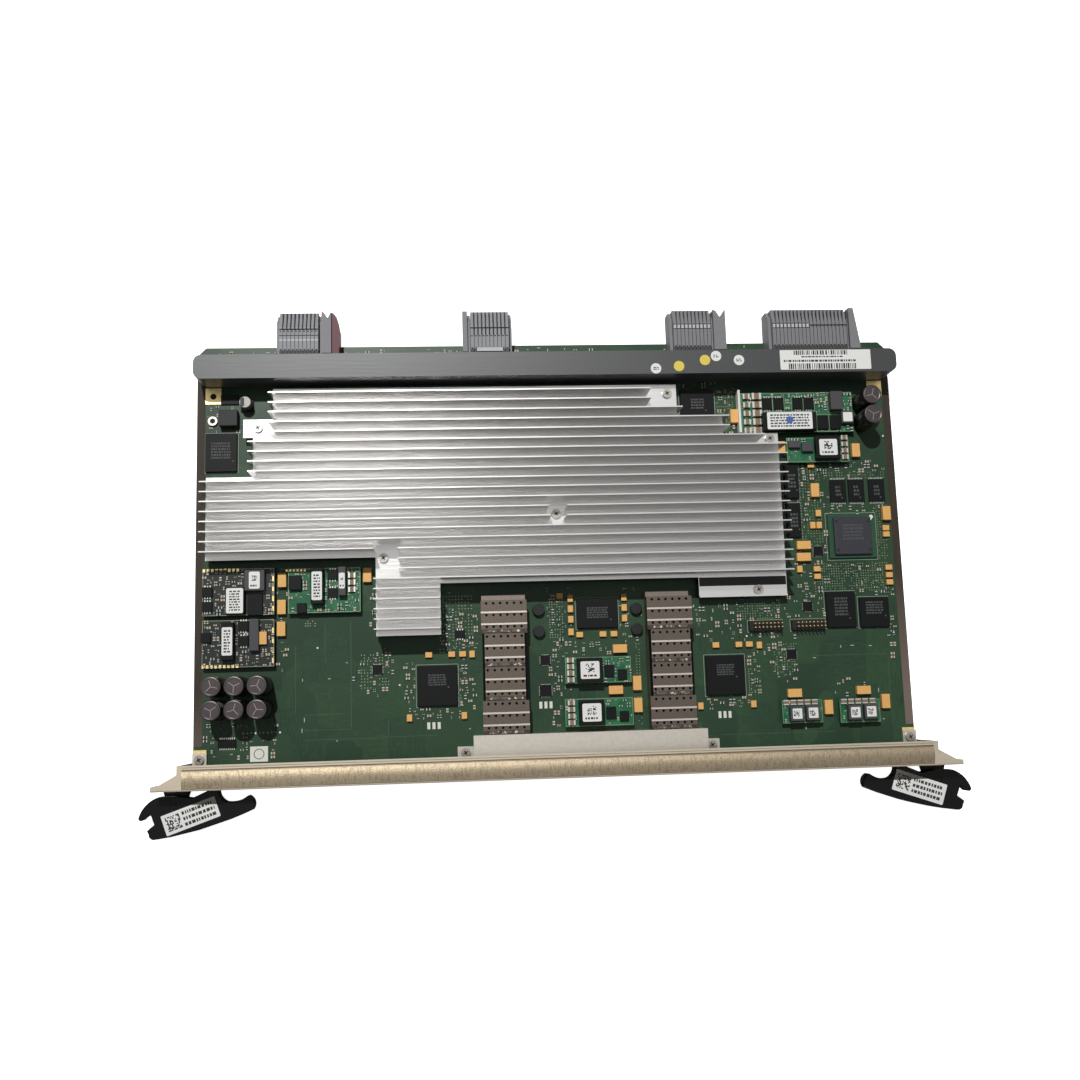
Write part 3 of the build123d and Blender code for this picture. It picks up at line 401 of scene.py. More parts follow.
# Vias and test points: small holes drilled through the board and plated with tin, in rows beside the
# chips, just proud of the mask.
via_tin = finish("via_tin", (132, 142, 116), rough=0.4, metal=0.5, size=0.5, contrast=0.3)
shape = bmesh.new()
via_fields = [
    (136, 178, -26, -8.5, 1.3), (131, 143, -6, 44, 1.5), (171.5, 178, -8, 34, 1.4),
    (143, 178, 35.5, 40, 1.4), (98, 101.5, -76, -56, 1.2), (-51.5, -46, -78, -57, 1.2),
    (112, 126, -66, -50, 1.3), (-100, -84, -68, -50, 1.5), (-4, 4, -45, -22, 1.3),
    (-60, -42, -50, -20, 1.6), (94, 118, -38, -28.5, 1.3), (-128, -122, -36, -31.5, 1.2),
    (84, 100, 62, 84, 1.2), (40, 44, -90, -48, 1.5),
]
draw = random.Random(7)
for left, right, front, back, pitch in via_fields:
    for column in range(int((right - left) / pitch)):
        for row in range(int((back - front) / pitch)):
            x, y = left + column * pitch, front + row * pitch
            if draw.random() >= 0.72 or cell_at(x, y) in taken:
                continue
            if abs(level_at(x, y) - board_top) < 0.05:
                add_round(shape, x, y, board_top, 0.27, plating, sides=6)
new_piece("vias", shape, via_tin)

# White legend: ink printed on the solder mask, as thin frames round the chips, ticks and dashes.
legend_height, legend_line = 0.015, 0.18
legend_white = finish("legend_white", (166, 176, 162), rough=0.6)
shape = bmesh.new()


def add_frame(shape, x, y, width, depth, level=board_top):
    """A thin printed outline round a chip."""
    for side in (-1, 1):
        add_box(shape, x, y + side * depth / 2, level, width, legend_line, legend_height)
        add_box(shape, x + side * width / 2, y, level, legend_line, depth, legend_height)


for x, y, width, depth in (
        (-62, -67.9, 21.4, 21.4), (85.5, -66.8, 21.4, 21.4), (20.5, -33.3, 22.2, 16.2),
        (78, 76.5, 19.2, 16.7), (126.3, 34, 8.6, 19.6), (126.3, 13, 8.6, 19.2), (148.3, -34.5, 16.6, 19.6),
        (166, -36.3, 16.6, 16.6), (157, 4, 27, 25), (108, -42, 18.6, 6.2), (130.5, -42, 18.6, 6.2),
        (-170.5, 54, 16.8, 21)):
    add_frame(shape, x, y, width, depth)
draw = random.Random(3)
for left, right, front, back, count in (
        (-140, -96, -98, -34, 6), (105, 176, -96, -50, 10), (60, 178, -60, 84, 50), (-60, -42, -90, -20, 16),
        (-178, 110, 102.4, 109, 36)):
    for mark in range(count):
        x, y = draw.uniform(left, right), draw.uniform(front, back)
        wide = draw.uniform(0.8, 2.2)
        if is_free(x, y, wide / 2, 0.4, board_top):
            add_box(shape, x, y, board_top, wide, 0.45, legend_height, turn=draw.choice((0, 90)))
new_piece("board_legend", shape, legend_white)


# Chips. Moulded black epoxy with a fine matt grain, soldered flat on the board or on thin legs. They
# and the other moulded parts keep the form of their CAD solids, with softer edges.
def softened(name, nodes, material, width, segments=2, body="card"):
    """The CAD solids with their edges worn round, standing for the nodes they come from."""
    shape = bmesh.new()
    for node in nodes:
        shape.from_mesh(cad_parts[node].data)
    bmesh.ops.remove_doubles(shape, verts=shape.verts, dist=0.00001)
    bmesh.ops.dissolve_limit(shape, angle_limit=math.radians(3), verts=shape.verts, edges=shape.edges)
    least_angle = math.radians(35)
    sharp = [edge for edge in shape.edges if edge.is_manifold and edge.calc_face_angle() > least_angle]
    bmesh.ops.bevel(shape, geom=sharp, offset=width * mm, offset_type="OFFSET", affect="EDGES",
                    segments=segments, profile=0.5, clamp_overlap=True, material=-1)
    piece = new_piece(name, shape, material, body)
    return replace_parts(piece, *nodes)


chip_epoxy = finish("chip_epoxy", (13, 14, 15), rough=0.46, size=0.35, contrast=0.3, bump=0.2, shine=0.1)
softened("chip_bodies", ("network_chips", "memory_chips", "logic_chips", "small_chips"), chip_epoxy, 0.12, 1)
softened("module_chip_bodies", ("module_chips",), chip_epoxy, 0.1, 1)
softened("module_core_bodies", ("module_cores",), chip_epoxy, 0.25)
for name in ("sink_processors", "host_connectors"):
    dress(name, chip_epoxy)
lid_plate = finish("lid_plate", (52, 52, 58), rough=0.45, metal=0.2, size=0.6, contrast=0.25)
softened("processor_lid_plate", ("processor_lid",), lid_plate, 0.25)

# Laser marks on the chips: rows of short grey dashes and one round spot, burnt into the epoxy. The
# processor's lid has a dark spot at each corner.
laser_grey = finish("laser_grey", (74, 76, 75), rough=0.6, size=0.5, contrast=0.3)
ink = 0.012
shape = bmesh.new()


def turned(x, y, dx, dy, turn):
    """A place given from a centre, after a turn about that centre."""
    angle = math.radians(turn)
    return x + dx * math.cos(angle) - dy * math.sin(angle), y + dx * math.sin(angle) + dy * math.cos(angle)


def add_dashes(shape, seed, x, y, level, width, depth, lines, turn=0.0, slot=1, dashes=(0.5, 1.8),
               gaps=(0.3, 0.6), tall=0.55, shortest=0.4):
    """Lines of dashes of uneven length."""
    draw = random.Random(seed)
    for line in range(lines):
        run = -width / 2
        dy = depth / 2 - (line + 0.5) * depth / lines
        while run < width / 2 - shortest:
            dash = min(draw.uniform(*dashes), width / 2 - run)
            px, py = turned(x, y, run + dash / 2, dy, turn)
            add_box(shape, px, py, level, dash, depth / lines * tall, ink, turn=turn, slot=slot)
            run += dash + draw.uniform(*gaps)


for seed, (x, y, high, width, depth, lines) in enumerate((
        (-62, -65, 2.2, 9, 6, 5), (85.5, -64, 2.2, 9, 6, 5), (20.5, -33, 2.2, 11, 6, 5),
        (78, 76.5, 2, 7, 6, 4), (126.3, 34, 2, 4, 8, 4), (126.3, 13, 2, 4, 8, 4), (148.3, -33, 2, 7, 10, 6),
        (166, -34, 2, 9, 7, 5), (-170.5, 55, 2, 10, 9, 6), (151.2, 28.3, 1.2, 3, 6, 3),
        (161, 28.3, 1.2, 3, 6, 3), (172, 28.3, 1.2, 3, 6, 3), (157, 6, 3, 11, 9, 5))):
    add_dashes(shape, seed, x, y, board_top + high, width, depth, lines, slot=0, dashes=(0.4, 1.5),
               gaps=(0.2, 0.5), tall=0.62, shortest=0.5)
    add_round(shape, x + width * 0.62, y - depth * 0.62, board_top + high, 0.45, ink, sides=12)
lid_x, lid_y = 157.0, 4.0
for x, y in ((-8.6, -7.6), (8.6, -7.6), (-8.6, 7.6), (8.6, 7.6)):
    add_round(shape, lid_x + x, lid_y + y, level_at(lid_x, lid_y), 0.95, 0.02, sides=20, slot=1)
new_piece("chip_marks", shape, (laser_grey, film_black))

# Legs: flat tinned wires along the sides of the leaded packages, bent down and soldered to the board or
# to a module.
module_level = board_top + 4.0
leg_height = 0.3
shape = bmesh.new()


def add_legs(shape, x, y, level, width, depth, pitch, along_y, length_out=0.9):
    """Two rows of flat legs, one each side of a package."""
    leg_width = pitch * 0.45
    length = depth if along_y else width
    count = int((length - 0.6) / pitch)
    for index in range(count):
        along = (index - (count - 1) / 2) * pitch
        for side in (-1, 1):
            reach = side * ((width if along_y else depth) / 2 + length_out / 2)
            if along_y:
                add_box(shape, x + reach, y + along, level, length_out, leg_width, leg_height)
            else:
                add_box(shape, x + along, y + reach, level, leg_width, length_out, leg_height)


for x in (151.2, 161.0, 172.0):
    add_legs(shape, x, 28.3, board_top, 8.6, 12.2, 0.8, False)
for x, y in ((-92, -59), (121, -57), (131, -32.5), (-7, -56.5), (-7.2, -72), (138.5, -3.5)):
    size = 6.0 if y == -72.0 else 5.0
    for along_y in (True, False):
        add_legs(shape, x, y, board_top, size, size, 0.65, along_y, 0.35)
add_legs(shape, -50.1, -42.2, board_top, 5.0, 4.0, 1.27, False)
add_legs(shape, -166.5, -93.5, board_top, 9.0, 4.2, 1.0, False)
for x, y in ((-176, -18.1), (-176, -25.5), (-158.1, -35.6), (-158, -43), (-113.8, -10.7), (-113.8, -19.9)):
    add_legs(shape, x, y, module_level, 4.9, 4.9, 1.27, False)
for x in (114.7, 120.9, 131.2, 137.2):
    add_legs(shape, x, 75.2, module_level, 5.2, 6.2, 1.27, False)
new_piece("chip_legs", shape, tinned)

# Tantalum capacitors. Cases moulded in orange epoxy, slightly worn at the edges, soldered flat on the
# board.
tantalum_mould = finish("tantalum_mould", (228, 176, 106), rough=0.42, size=0.8, contrast=0.14)
softened("tantalum_cases", ("large_tantalums", "small_tantalums"), tantalum_mould, 0.25)

# Cores and chokes. The modules carry cores of pressed grey ferrite, and the chokes on the board are
# moulded in black.
ferrite = finish("ferrite", (70, 70, 72), rough=0.55, size=0.5, contrast=0.3, bump=0.2)
softened("module_ferrite_cores", ("module_ferrites",), ferrite, 0.3)
choke_black = finish("choke_black", (22, 22, 24), size=0.5, contrast=0.3, bump=0.2)
softened("choke_bodies", ("chokes",), choke_black, 0.3)


# Power modules. Small green boards on pins, dense with small parts. The two at the left are black and
# have gold along their edges.
module_mask = finish("module_mask", (32, 92, 62), rough=0.34, size=3.0, contrast=0.4, bump=0.0)
module_copper = place_group(module_mask, copper, Pitch_mm=1.2, Zone_mm=5.0)
module_planes = maths(module_mask.node_tree, "MULTIPLY", module_copper.outputs["Planes"], 0.3)
tint_by(module_mask, module_planes, (70, 128, 88))
for place in ("input", "side", "core", "port", "corner"):
    dress(place + "_supply_boards", module_mask)
substrate_green = finish("substrate_green", (38, 74, 54), rough=0.4, size=1.5, contrast=0.3, bump=0.0)
dress("processor_substrate", substrate_green)
module_black = finish("module_black", (26, 34, 30), rough=0.4, size=2.0, contrast=0.5, bump=0.0)
dress("left_supply_boards", module_black)
shape = bmesh.new()
for seed, (left, right, front, back, count) in enumerate((
        (101.5, 112, 61, 81, 34), (112, 160, 79, 81, 16), (123, 128, 72, 80, 5), (140, 148, 70, 81, 16),
        (154.8, 160.5, 71, 81, 14), (140, 160.5, 60.2, 62, 5), (124.5, 138, 44, 56, 12),
        (152, 157, 44.5, 56, 10), (-178.5, -143, -30, -6.5, 90), (-178.5, -143, -56, -32.5, 100),
        (-136, -100, -29.5, -7.2, 60), (2.8, 36.4, -68.8, -55.8, 28), (2.2, 36.6, -90.4, -76.6, 28),
        (113.4, 134.2, -92.2, -80.6, 18), (143.5, 164.3, -92.7, -81.1, 18))):
    scatter(shape, 100 + seed, left, right, front, back, count, level=module_level)
new_piece("module_small_parts", shape, (ceramic_tan, film_black, tinned_pale))
shape = bmesh.new()
for x, y, width, depth in (
        (114.7, 75.2, 6.4, 8.4), (120.9, 75.2, 6.4, 8.4), (131.2, 75.2, 6.4, 8.4), (137.2, 75.2, 6.4, 8.4),
        (144.2, 64.7, 6.2, 9), (150.9, 64.7, 6.2, 9), (151.3, 75.8, 7.4, 10.8), (130.8, 70.5, 59.6, 21),
        (140.7, 50.1, 32.8, 12.7), (-118, -18.4, 35.7, 22.2), (19.6, -62.3, 33.2, 12.6),
        (19.4, -83.5, 34.2, 13.4), (123.8, -86.4, 20.4, 11.2), (153.9, -86.9, 20.4, 11.2),
        (-160.8, -18.3, 35.2, 23.2), (-160.8, -44.2, 35.2, 23.2)):
    add_frame(shape, x, y, width, depth, module_level)
new_piece("module_legend", shape, via_tin)

# Ceramic capacitors placed on the modules in given columns and rows, as the photograph shows, and one
# small tantalum capacitor.
ceramic_brown = finish("ceramic_brown", (132, 110, 90), size=0.6, contrast=0.25)
shape = bmesh.new()
for x, y, step, count, length, width, height in (
        (103.5, 60.8, 4.6, 5, 3.7, 2.8, 1.6), (108.9, 60.8, 4.6, 5, 5, 3.4, 2),
        (154.9, 45.8, 3.5, 4, 3.4, 2.4, 1.4), (5.4, -67, 3.3, 4, 3.6, 2.5, 1.5),
        (5.2, -88.4, 3.3, 4, 3.6, 2.5, 1.5), (-104.1, -18.4, 3.6, 3, 3.6, 2.6, 1.5)):
    for row in range(count):
        add_chip_part(shape, x, y + row * step, module_level, length, width, height)
for x, y in ((115.2, -81.7), (145.3, -82)):
    for column in range(5):
        add_chip_part(shape, x + column * 3.7, y, module_level, 2.6, 2.9, 1.4, True)
new_piece("module_ceramics", shape, (ceramic_brown, film_black, tinned))
shape = bmesh.new()
add_box(shape, -148.3, -41.8, module_level, 3.7, 6.3, 1.9)
new_piece("module_tantalum", shape, tantalum_mould)

# Fingers and pads along the edges of the left modules and of the green one beside them: copper with a
# thin gold plating.
shape = bmesh.new()
for x, y, width, depth, count, step in (
        (-178, -7.2, 1.2, 1.6, 9, 2.1), (-178, -55.4, 1.2, 1.6, 9, 2.1), (-136.8, -8, 1, 1, 6, 1.8)):
    for index in range(count):
        add_box(shape, x + index * step, y, module_level, width, depth, plating)
for y in (-27.0, -22.0, -17.0, -12.0, -53.0, -48.0, -43.0, -38.0):
    add_box(shape, -143.6, y, module_level, 0.9, 2.6, plating)
new_piece("module_pads", shape, gold_plate)

# White pads and marks: a printed square with a plain ring, groups of three long pads, a row of test pads,
# single round pads and an upright pale strip beside the input supply.
pad_white = finish("pad_white", (222, 222, 214), rough=0.55, contrast=0.12)
print_grey = finish("print_grey", (70, 72, 74), rough=0.6, contrast=0.1)
pad_height = 0.04
square_x, square_y, ring_radius = -150.9, -99.0, 2.4
shape = bmesh.new()
add_box(shape, square_x, square_y, board_top, 8.8, 7.5, pad_height)
for turn in range(0, 360, 15):
    x, y = turned(square_x, square_y, ring_radius, 0.0, turn)
    add_box(shape, x, y, board_top + pad_height, 0.36, 0.7, 0.01, turn=turn, slot=1)
for x, y in ((-64.1, -87.8), (84.5, -86.8), (-7.3, -79.2)):
    for side in (-1, 0, 1):
        add_box(shape, x + side * 2.6, y, board_top, 1.5, 3.4, pad_height)
for index in range(10):
    add_box(shape, -158.8 + index * 2.02, -88.7, board_top, 0.9, 0.9, pad_height)
for x, y in ((-122, -47.2), (98, -47), (176, -47), (-81, -67), (84, 90), (110, -24), (178, 58)):
    add_round(shape, x, y, board_top, 0.5, plating, sides=20)
add_box(shape, 99.8, 71.5, board_top, 1.2, 23.0, 4.6)
new_piece("white_marks", shape, (pad_white, print_grey))

# Edges of the copper planes inside the board, which show through the solder mask as faint straight lines
# where nothing is mounted.
plane_edge = finish("plane_edge", (62, 88, 62), rough=0.4, size=4.0, contrast=0.3, bump=0.0)
shape = bmesh.new()
for x, y, width, depth in (
        (-105.3, -60.6, 0.3, 53), (-119, -80.6, 20, 0.25), (-117.3, -88.2, 24, 0.25), (-108, -93, 42, 0.25),
        (-86.9, -88.7, 0.25, 8.6), (-133, -62.6, 0.25, 34), (-118.2, -45, 0.25, 20), (-76, -92.6, 28, 0.25),
        (152, -58, 40, 0.25), (172, -76, 0.25, 36), (112, -97, 60, 0.25)):
    add_box(shape, x, y, board_top, width, depth, 0.01)
new_piece("plane_edges", shape, plane_edge)


# Stickers. White paper labels, stuck on the modules, the bar and the levers, and printed with plain bars,
# dashes and random squares.
label_paper = finish("label_paper", (232, 232, 228), size=2.0, contrast=0.05)
label_ink = finish("label_ink", (52, 52, 56), rough=0.6, contrast=0.08)
label_blue = finish("label_blue", (70, 104, 170), contrast=0.08)
label_slots = (label_paper, label_ink, label_blue)
paper = 0.06


def add_sheet(shape, x, y, level, width, depth, corner=0.8, turn=0.0, slot=0):
    """A rounded sheet of paper."""
    points = []
    for step in range(24):
        angle = math.radians(step * 15 + 7.5)
        across, along = math.cos(angle), math.sin(angle)
        points.append((math.copysign(width / 2 - corner, across) + corner * across,
                       math.copysign(depth / 2 - corner, along) + corner * along))
    low = [shape.verts.new((px * mm, py * mm, 0)) for px, py in points]
    grown = bmesh.ops.extrude_face_region(shape, geom=[shape.faces.new(low)])["geom"]
    high = [item for item in grown if isinstance(item, bmesh.types.BMVert)]
    bmesh.ops.translate(shape, verts=high, vec=(0, 0, paper * mm))
    place = Matrix.Translation((x * mm, y * mm, level * mm)) @ Matrix.Rotation(math.radians(turn), 4, "Z")
    bmesh.ops.transform(shape, matrix=place, verts=low + high)
    paint(low + high, slot)


def add_code_square(shape, seed, x, y, level, size, cells, turn=0.0):
    """A square of random cells."""
    draw = random.Random(seed)
    side = size / cells
    for row in range(cells):
        for column in range(cells):
            if draw.random() < 0.5:
                dx, dy = (column - (cells - 1) / 2) * side, (row - (cells - 1) / 2) * side
                px, py = turned(x, y, dx, dy, turn)
                add_box(shape, px, py, level, side, side, ink, turn=turn, slot=1)


def add_bars(shape, seed, x, y, level, width, depth, turn=0.0):
    """A row of upright bars of random widths."""
    draw = random.Random(seed)
    run = -width / 2
    while run < width / 2 - 0.6:
        bar = draw.choice((0.35, 0.6, 0.9))
        px, py = turned(x, y, run + bar / 2, 0, turn)
        add_box(shape, px, py, level, bar, depth, ink, turn=turn, slot=1)
        run += bar + draw.choice((0.35, 0.5, 0.8))


shape = bmesh.new()
for seed, (x, y, high, width, depth) in enumerate((
        (125, 64.8, 5.6, 24.1, 9.2), (145.2, 50.6, 4, 9.6, 8.6), (15, -62.4, 4, 9.6, 8.8),
        (15.2, -83.6, 4, 9.6, 9), (-152.3, -12.9, 3.6, 5.4, 8.6), (-161.9, -23, 4, 8.4, 12.6),
        (-165.4, -43.2, 4.4, 5.2, 14), (-121.2, -16.6, 5, 5.2, 14.4), (-108.8, -14.2, 4.4, 3, 8))):
    add_sheet(shape, x, y, module_level + high, width, depth)
    level = module_level + high + paper
    if width > 20:
        add_dashes(shape, seed, x, y, level, width * 0.86, depth * 0.8, 5)
        add_round(shape, x, y + 0.4, level + ink + 0.002, 1.9, 0.01, sides=28, slot=2)
    elif depth > 11:
        add_dashes(shape, seed, x, y, level, width * 0.62, depth * 0.84, 8)
    else:
        square = min(width, depth) * 0.5
        add_code_square(shape, seed, x, y + depth * 0.12, level, square, 8)
        add_dashes(shape, seed, x, y - depth * 0.32, level, width * 0.72, depth * 0.2, 1)
for x, y, high in ((120, -87.4, 4), (128.4, -87.2, 3.6), (150.2, -87.6, 4), (158.6, -87.4, 3.6)):
    add_sheet(shape, x, y, module_level + high, 4.9, 5.2, corner=0.4)
    add_code_square(shape, int(x), x - 0.5, y, module_level + high + paper, 3.0, 8)
add_sheet(shape, 157.0, 67.0, module_level + 3.2, 5.0, 5.0, corner=0.5)
add_sheet(shape, 167.4, 13.6, level_at(167.4, 13.6), 2.0, 3.4, corner=0.9, turn=-40)
new_piece("module_labels", shape, label_slots)

# Paper on the rear bar: a long label with rows of bars and dashes, and round white and yellow stickers
# beside it.
sticker_yellow = finish("sticker_yellow", (226, 204, 92), contrast=0.08)
shape = bmesh.new()
bar_top = 19.4
add_sheet(shape, 143.8, 95.4, bar_top, 48.4, 10.6, corner=0.5)
add_bars(shape, 60, 141.5, 99.2, bar_top + paper, 29.0, 2.4)
add_bars(shape, 61, 142.0, 91.9, bar_top + paper, 36.0, 3.0)
add_dashes(shape, 70, 142.0, 97.0, bar_top + paper, 22.0, 1.3, 1)
add_dashes(shape, 71, 141.0, 94.8, bar_top + paper, 39.0, 2.0, 1)
for x, y, slot in ((54, 91.6, 0), (66.1, 92.7, 3), (79.9, 95.8, 3), (85.8, 97.9, 0), (97.8, 95.6, 0)):
    add_sheet(shape, x, y, bar_top, 5.5, 5.5, corner=2.7, slot=slot)
    if slot == 0:
        add_dashes(shape, int(x), x, y, bar_top + paper, 2.8, 1.8, 2)
new_piece("bar_stickers", shape, (*label_slots, sticker_yellow))


# Standing capacitors. Each has an aluminium can in a dark sleeve: the sleeve curls over the rim, a
# rolled groove runs round near the seal, and the bare top is scored with a three-way vent, with pale
# strips of painted highlight along its scores.
can_radius, can_height = 5.0, 20.0
sleeve = finish("sleeve", (26, 21, 20), rough=0.34, size=4.0, contrast=0.15)
can_top_metal = finish("can_top_metal", (70, 64, 65), rough=0.34, metal=0.5, size=0.8)
vent_painted_highlight = finish("vent_painted_highlight", (150, 144, 144), rough=0.4, metal=0.4, size=0.8)
sleeve_stripe = finish("sleeve_stripe", (150, 142, 128), rough=0.4, size=3.0, contrast=0.15)


def add_turned(shape, x, y, profile):
    """A round part turned from its half section; each row is a radius, a height and a material slot."""
    for (radius, low, slot), (next_radius, high, next_slot) in zip(profile, profile[1:]):
        known = set(shape.faces)
        ends = [shape.verts.new(((x + reach) * mm, y * mm, z * mm))
                for reach, z in ((radius, low), (next_radius, high))]
        edge = shape.edges.new(ends)
        bmesh.ops.spin(shape, geom=[*ends, edge], cent=(x * mm, y * mm, 0), axis=(0, 0, 1), angle=math.tau,
                       steps=40, use_merge=True)
        for face in set(shape.faces) - known:
            face.material_index = next_slot
            face.smooth = abs(high - low) > abs(next_radius - radius)


def can_shape(places):
    """Standing cans on the board: sleeve, rolled groove, curled rim, bare scored top with painted highlights
    along the scores.
    """
    shape = bmesh.new()
    radius, low, high = can_radius, board_top, board_top + can_height
    for x, y, vent_turn in places:
        add_turned(shape, x, y, (
            (0.0, low, 0), (radius - 0.5, low, 0), (radius, low + 0.5, 0), (radius, low + 2.0, 0),
            (radius - 0.45, low + 2.5, 0), (radius, low + 3.0, 0), (radius, high - 0.5, 0),
            (radius - 0.35, high - 0.1, 0), (radius - 0.9, high, 1), (radius - 1.25, high - 0.35, 1),
            (radius - 1.6, high - 0.35, 1), (0.0, high - 0.3, 1)))
        arm = radius * 0.33
        # Painted highlight: a pale strip along each score of the vent.
        for turn in (vent_turn, vent_turn + 120, vent_turn + 240):
            px, py = turned(x, y, arm, 0.0, turn)
            add_box(shape, px, py, high - 0.32, arm * 1.9, 0.24, 0.04, turn=turn, slot=2)
        for step in range(-2, 3):
            turn = vent_turn + step * 7
            px, py = turned(x, y, radius + 0.01, 0.0, turn)
            add_box(shape, px, py, low + 3.2, 0.06, 0.66, can_height - 4.2, turn=turn, slot=3)
    bmesh.ops.remove_doubles(shape, verts=shape.verts, dist=0.00002)
    bmesh.ops.recalc_face_normals(shape, faces=shape.faces)
    return shape


can_slots = (sleeve, can_top_metal, vent_painted_highlight, sleeve_stripe)
bulk_places = [(-159.8 + (column - 1) * 11.0, -71.3 + (row - 0.5) * 11.5, 35 + 40 * column + 70 * row)
               for column in range(3) for row in range(2)]
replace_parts(new_piece("bulk_cans", can_shape(bulk_places), can_slots), "bulk_capacitors")
input_places = [(166.4, 65.3, 20), (166.4, 75.7, 75)]
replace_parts(new_piece("input_cans", can_shape(input_places), can_slots), "input_capacitors")

# Small surface-mounted can: a bare aluminium can on a black moulded base, soldered flat, with a dark
# mark printed on its top.
small_x, small_y = -157.5, 79.0
base_top, small_top = board_top + 1.2, board_top + 7.5
shape = bmesh.new()
add_box(shape, small_x, small_y, board_top, 6.6, 6.6, 1.2, slot=2)
add_turned(shape, small_x, small_y, (
    (0.0, base_top, 0), (2.6, base_top, 0), (3.1, base_top + 0.6, 0), (3.1, small_top - 0.3, 0),
    (2.8, small_top, 0), (0.0, small_top, 0)))
add_box(shape, small_x - 1.4, small_y, small_top, 2.0, 4.6, ink, slot=1)
small_can_metal = finish("small_can_metal", (98, 96, 92), rough=0.4, metal=0.6)
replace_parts(new_piece("small_can", shape, (small_can_metal, print_grey, chip_epoxy)), "small_can_capacitor")


# Heat sink. One milled aluminium block with a satin skin and faint draw lines along every fin. It
# stands on the processors, and screws hold it down.
sink_metal = finish("sink_metal", (184, 183, 181), rough=0.26, metal=1.0, size=1.2, stretch=(16.0, 1.0),
                    contrast=0.06, bump=0.3)
for name in ("heat_sink", "heat_sink_spacers"):
    dress(name, sink_metal)
pad_grey = finish("pad_grey", (150, 152, 158), rough=0.7)
dress("thermal_pads", pad_grey)

# Painted shade on the foot of the heat sink: a thin dark strip laid down between the last fin and the
# foot's screw.
foot_painted_shade = finish("foot_painted_shade", (26, 24, 28), rough=0.3, size=2.0, bump=0.05)
shape = bmesh.new()
add_box(shape, 96.0, -18.95, 8.4, 45.4, 4.5, 0.05)
new_piece("sink_foot_painted_shade", shape, foot_painted_shade)


# Rear bar. An extruded bar with round ends, painted grey and screwed down from below, which keeps the
# board flat behind the connectors. All screws are zinc plated.
bar_grey = finish("bar_grey", (44, 45, 46), rough=0.42, stretch=(20.0, 1.0), contrast=0.18, bump=0.15,
                  shine=0.45)
softened("rear_bar", ("rear_stiffener",), bar_grey, 0.35)
zinc = finish("zinc", (150, 146, 138), rough=0.3, metal=0.85, size=0.8)
for name in ("stiffener_screws", "board_screws", "heat_sink_screws"):
    dress(name, zinc)

# Recesses in the screw heads: a cross pressed into each head and a hexagon in one stud, drawn as dark
# inlays of painted shade.
inlay = 0.02
# Painted shade for the recesses in the screw heads.
recess_painted_shade = finish("recess_painted_shade", (42, 40, 38), rough=0.7, metal=0.4)
shape = bmesh.new()
for x, y in (
        (-151, 65.5), (0.5, 18), (61, 81), (114.5, 56), (-88, -3), (104, -23.5), (-179.65, -100.9),
        (179.65, -100.9), (-48.4, -101.6), (76.6, -101.6)):
    head_top = level_at(x, y)
    for turn in (30, 120):
        add_box(shape, x, y, head_top, 2.4, 0.6, inlay, turn=turn)
add_round(shape, -175.0, 70.7, level_at(-175.0, 70.7), 1.5, inlay, sides=6)
new_piece("screw_recess_shade", shape, recess_painted_shade)


# Backplane connectors. Four grey moulded trays hold thin wafers side by side, paler in the two at the
# left, and keyed blocks stand beside them, one of them dark red.
connector_grey = finish("connector_grey", (126, 126, 128), size=1.2, contrast=0.16, bump=0.12)
wafer_pale = finish("wafer_pale", (142, 143, 146), size=1.2, contrast=0.16, bump=0.12)
for index, wafer_colour in enumerate((wafer_pale, wafer_pale, connector_grey, connector_grey), 1):
    dress("connector_tray_%d" % index, connector_grey)
    dress("connector_wafers_%d" % index, wafer_colour)
dress("key_blocks", connector_grey)
key_red = finish("key_red", (84, 30, 36), rough=0.45, contrast=0.15)
dress("key_block_red", key_red)

# Light windows, dark contacts and dark slivers of painted shade in the gaps between the wafers, the bent
# contact tails in front of them, and one strip of pale tape.
window_white = finish("window_white", (188, 188, 192), contrast=0.1)
dark_tails_and_gap_shade = finish("dark_tails_and_gap_shade", (40, 40, 42))
wafer_top, pitch = 16.4, 2.0
shape = bmesh.new()
for first in (64.6, 117.4):
    for index in range(10):
        add_box(shape, first + 1.0 + index * pitch, 115.1, wafer_top, 1.3, 1.9, inlay)
    for y in (113.9, 116.3):
        add_box(shape, first + 10.0, y, wafer_top, 20.0, 0.4, inlay, slot=1)
for x, y, width, depth, slot in (
        (-138.4, 111.9, 1.7, 0.5, 1), (-138.4, 109.5, 1.6, 0.8, 0), (-138.6, 114, 0.8, 0.7, 1),
        (-40.8, 110.9, 1.1, 0.6, 1)):
    for index in range(10):
        add_box(shape, x + index * pitch, y, wafer_top, width, depth, inlay, slot=slot)
for first, count in ((-139.4, 10), (-41.6, 10), (64.6, 10), (117.4, 20)):
    for index in range(count):
        x = first + 1.0 + index * pitch
        add_box(shape, x, 102.9, wafer_top - 2.4, 0.9, 0.9, 1.0, slot=1)
        add_box(shape, x, 104.3, wafer_top, 1.1, 0.9, inlay, slot=1)
        # Painted shade in the gap between two wafers.
        add_box(shape, x + 1.0, 113.6, wafer_top - 0.9, 0.26, 19.6, 0.92, slot=1)
flat_end, slope_drop = 116.8, 3.0
# Painted shade along the gaps between the wafers, over the flat top and down the slope.
for first, stop in ((-139.4, 115.2), (-41.6, 111.2)):
    for index in range(1, 10):
        x = first + index * pitch
        add_box(shape, x, (flat_end + stop) / 2, wafer_top, 0.7, flat_end - stop, inlay, slot=1)
        for vert in add_box(shape, x, 120.7, wafer_top, 0.7, 7.9, 0.08, slot=1):
            if vert.co.y > 120.0 * mm:
                vert.co.z -= slope_drop * mm
add_box(shape, -31.6, 103.7, wafer_top + inlay, 13.4, 1.9, plating)
new_piece("wafer_marks", shape, (window_white, dark_tails_and_gap_shade))


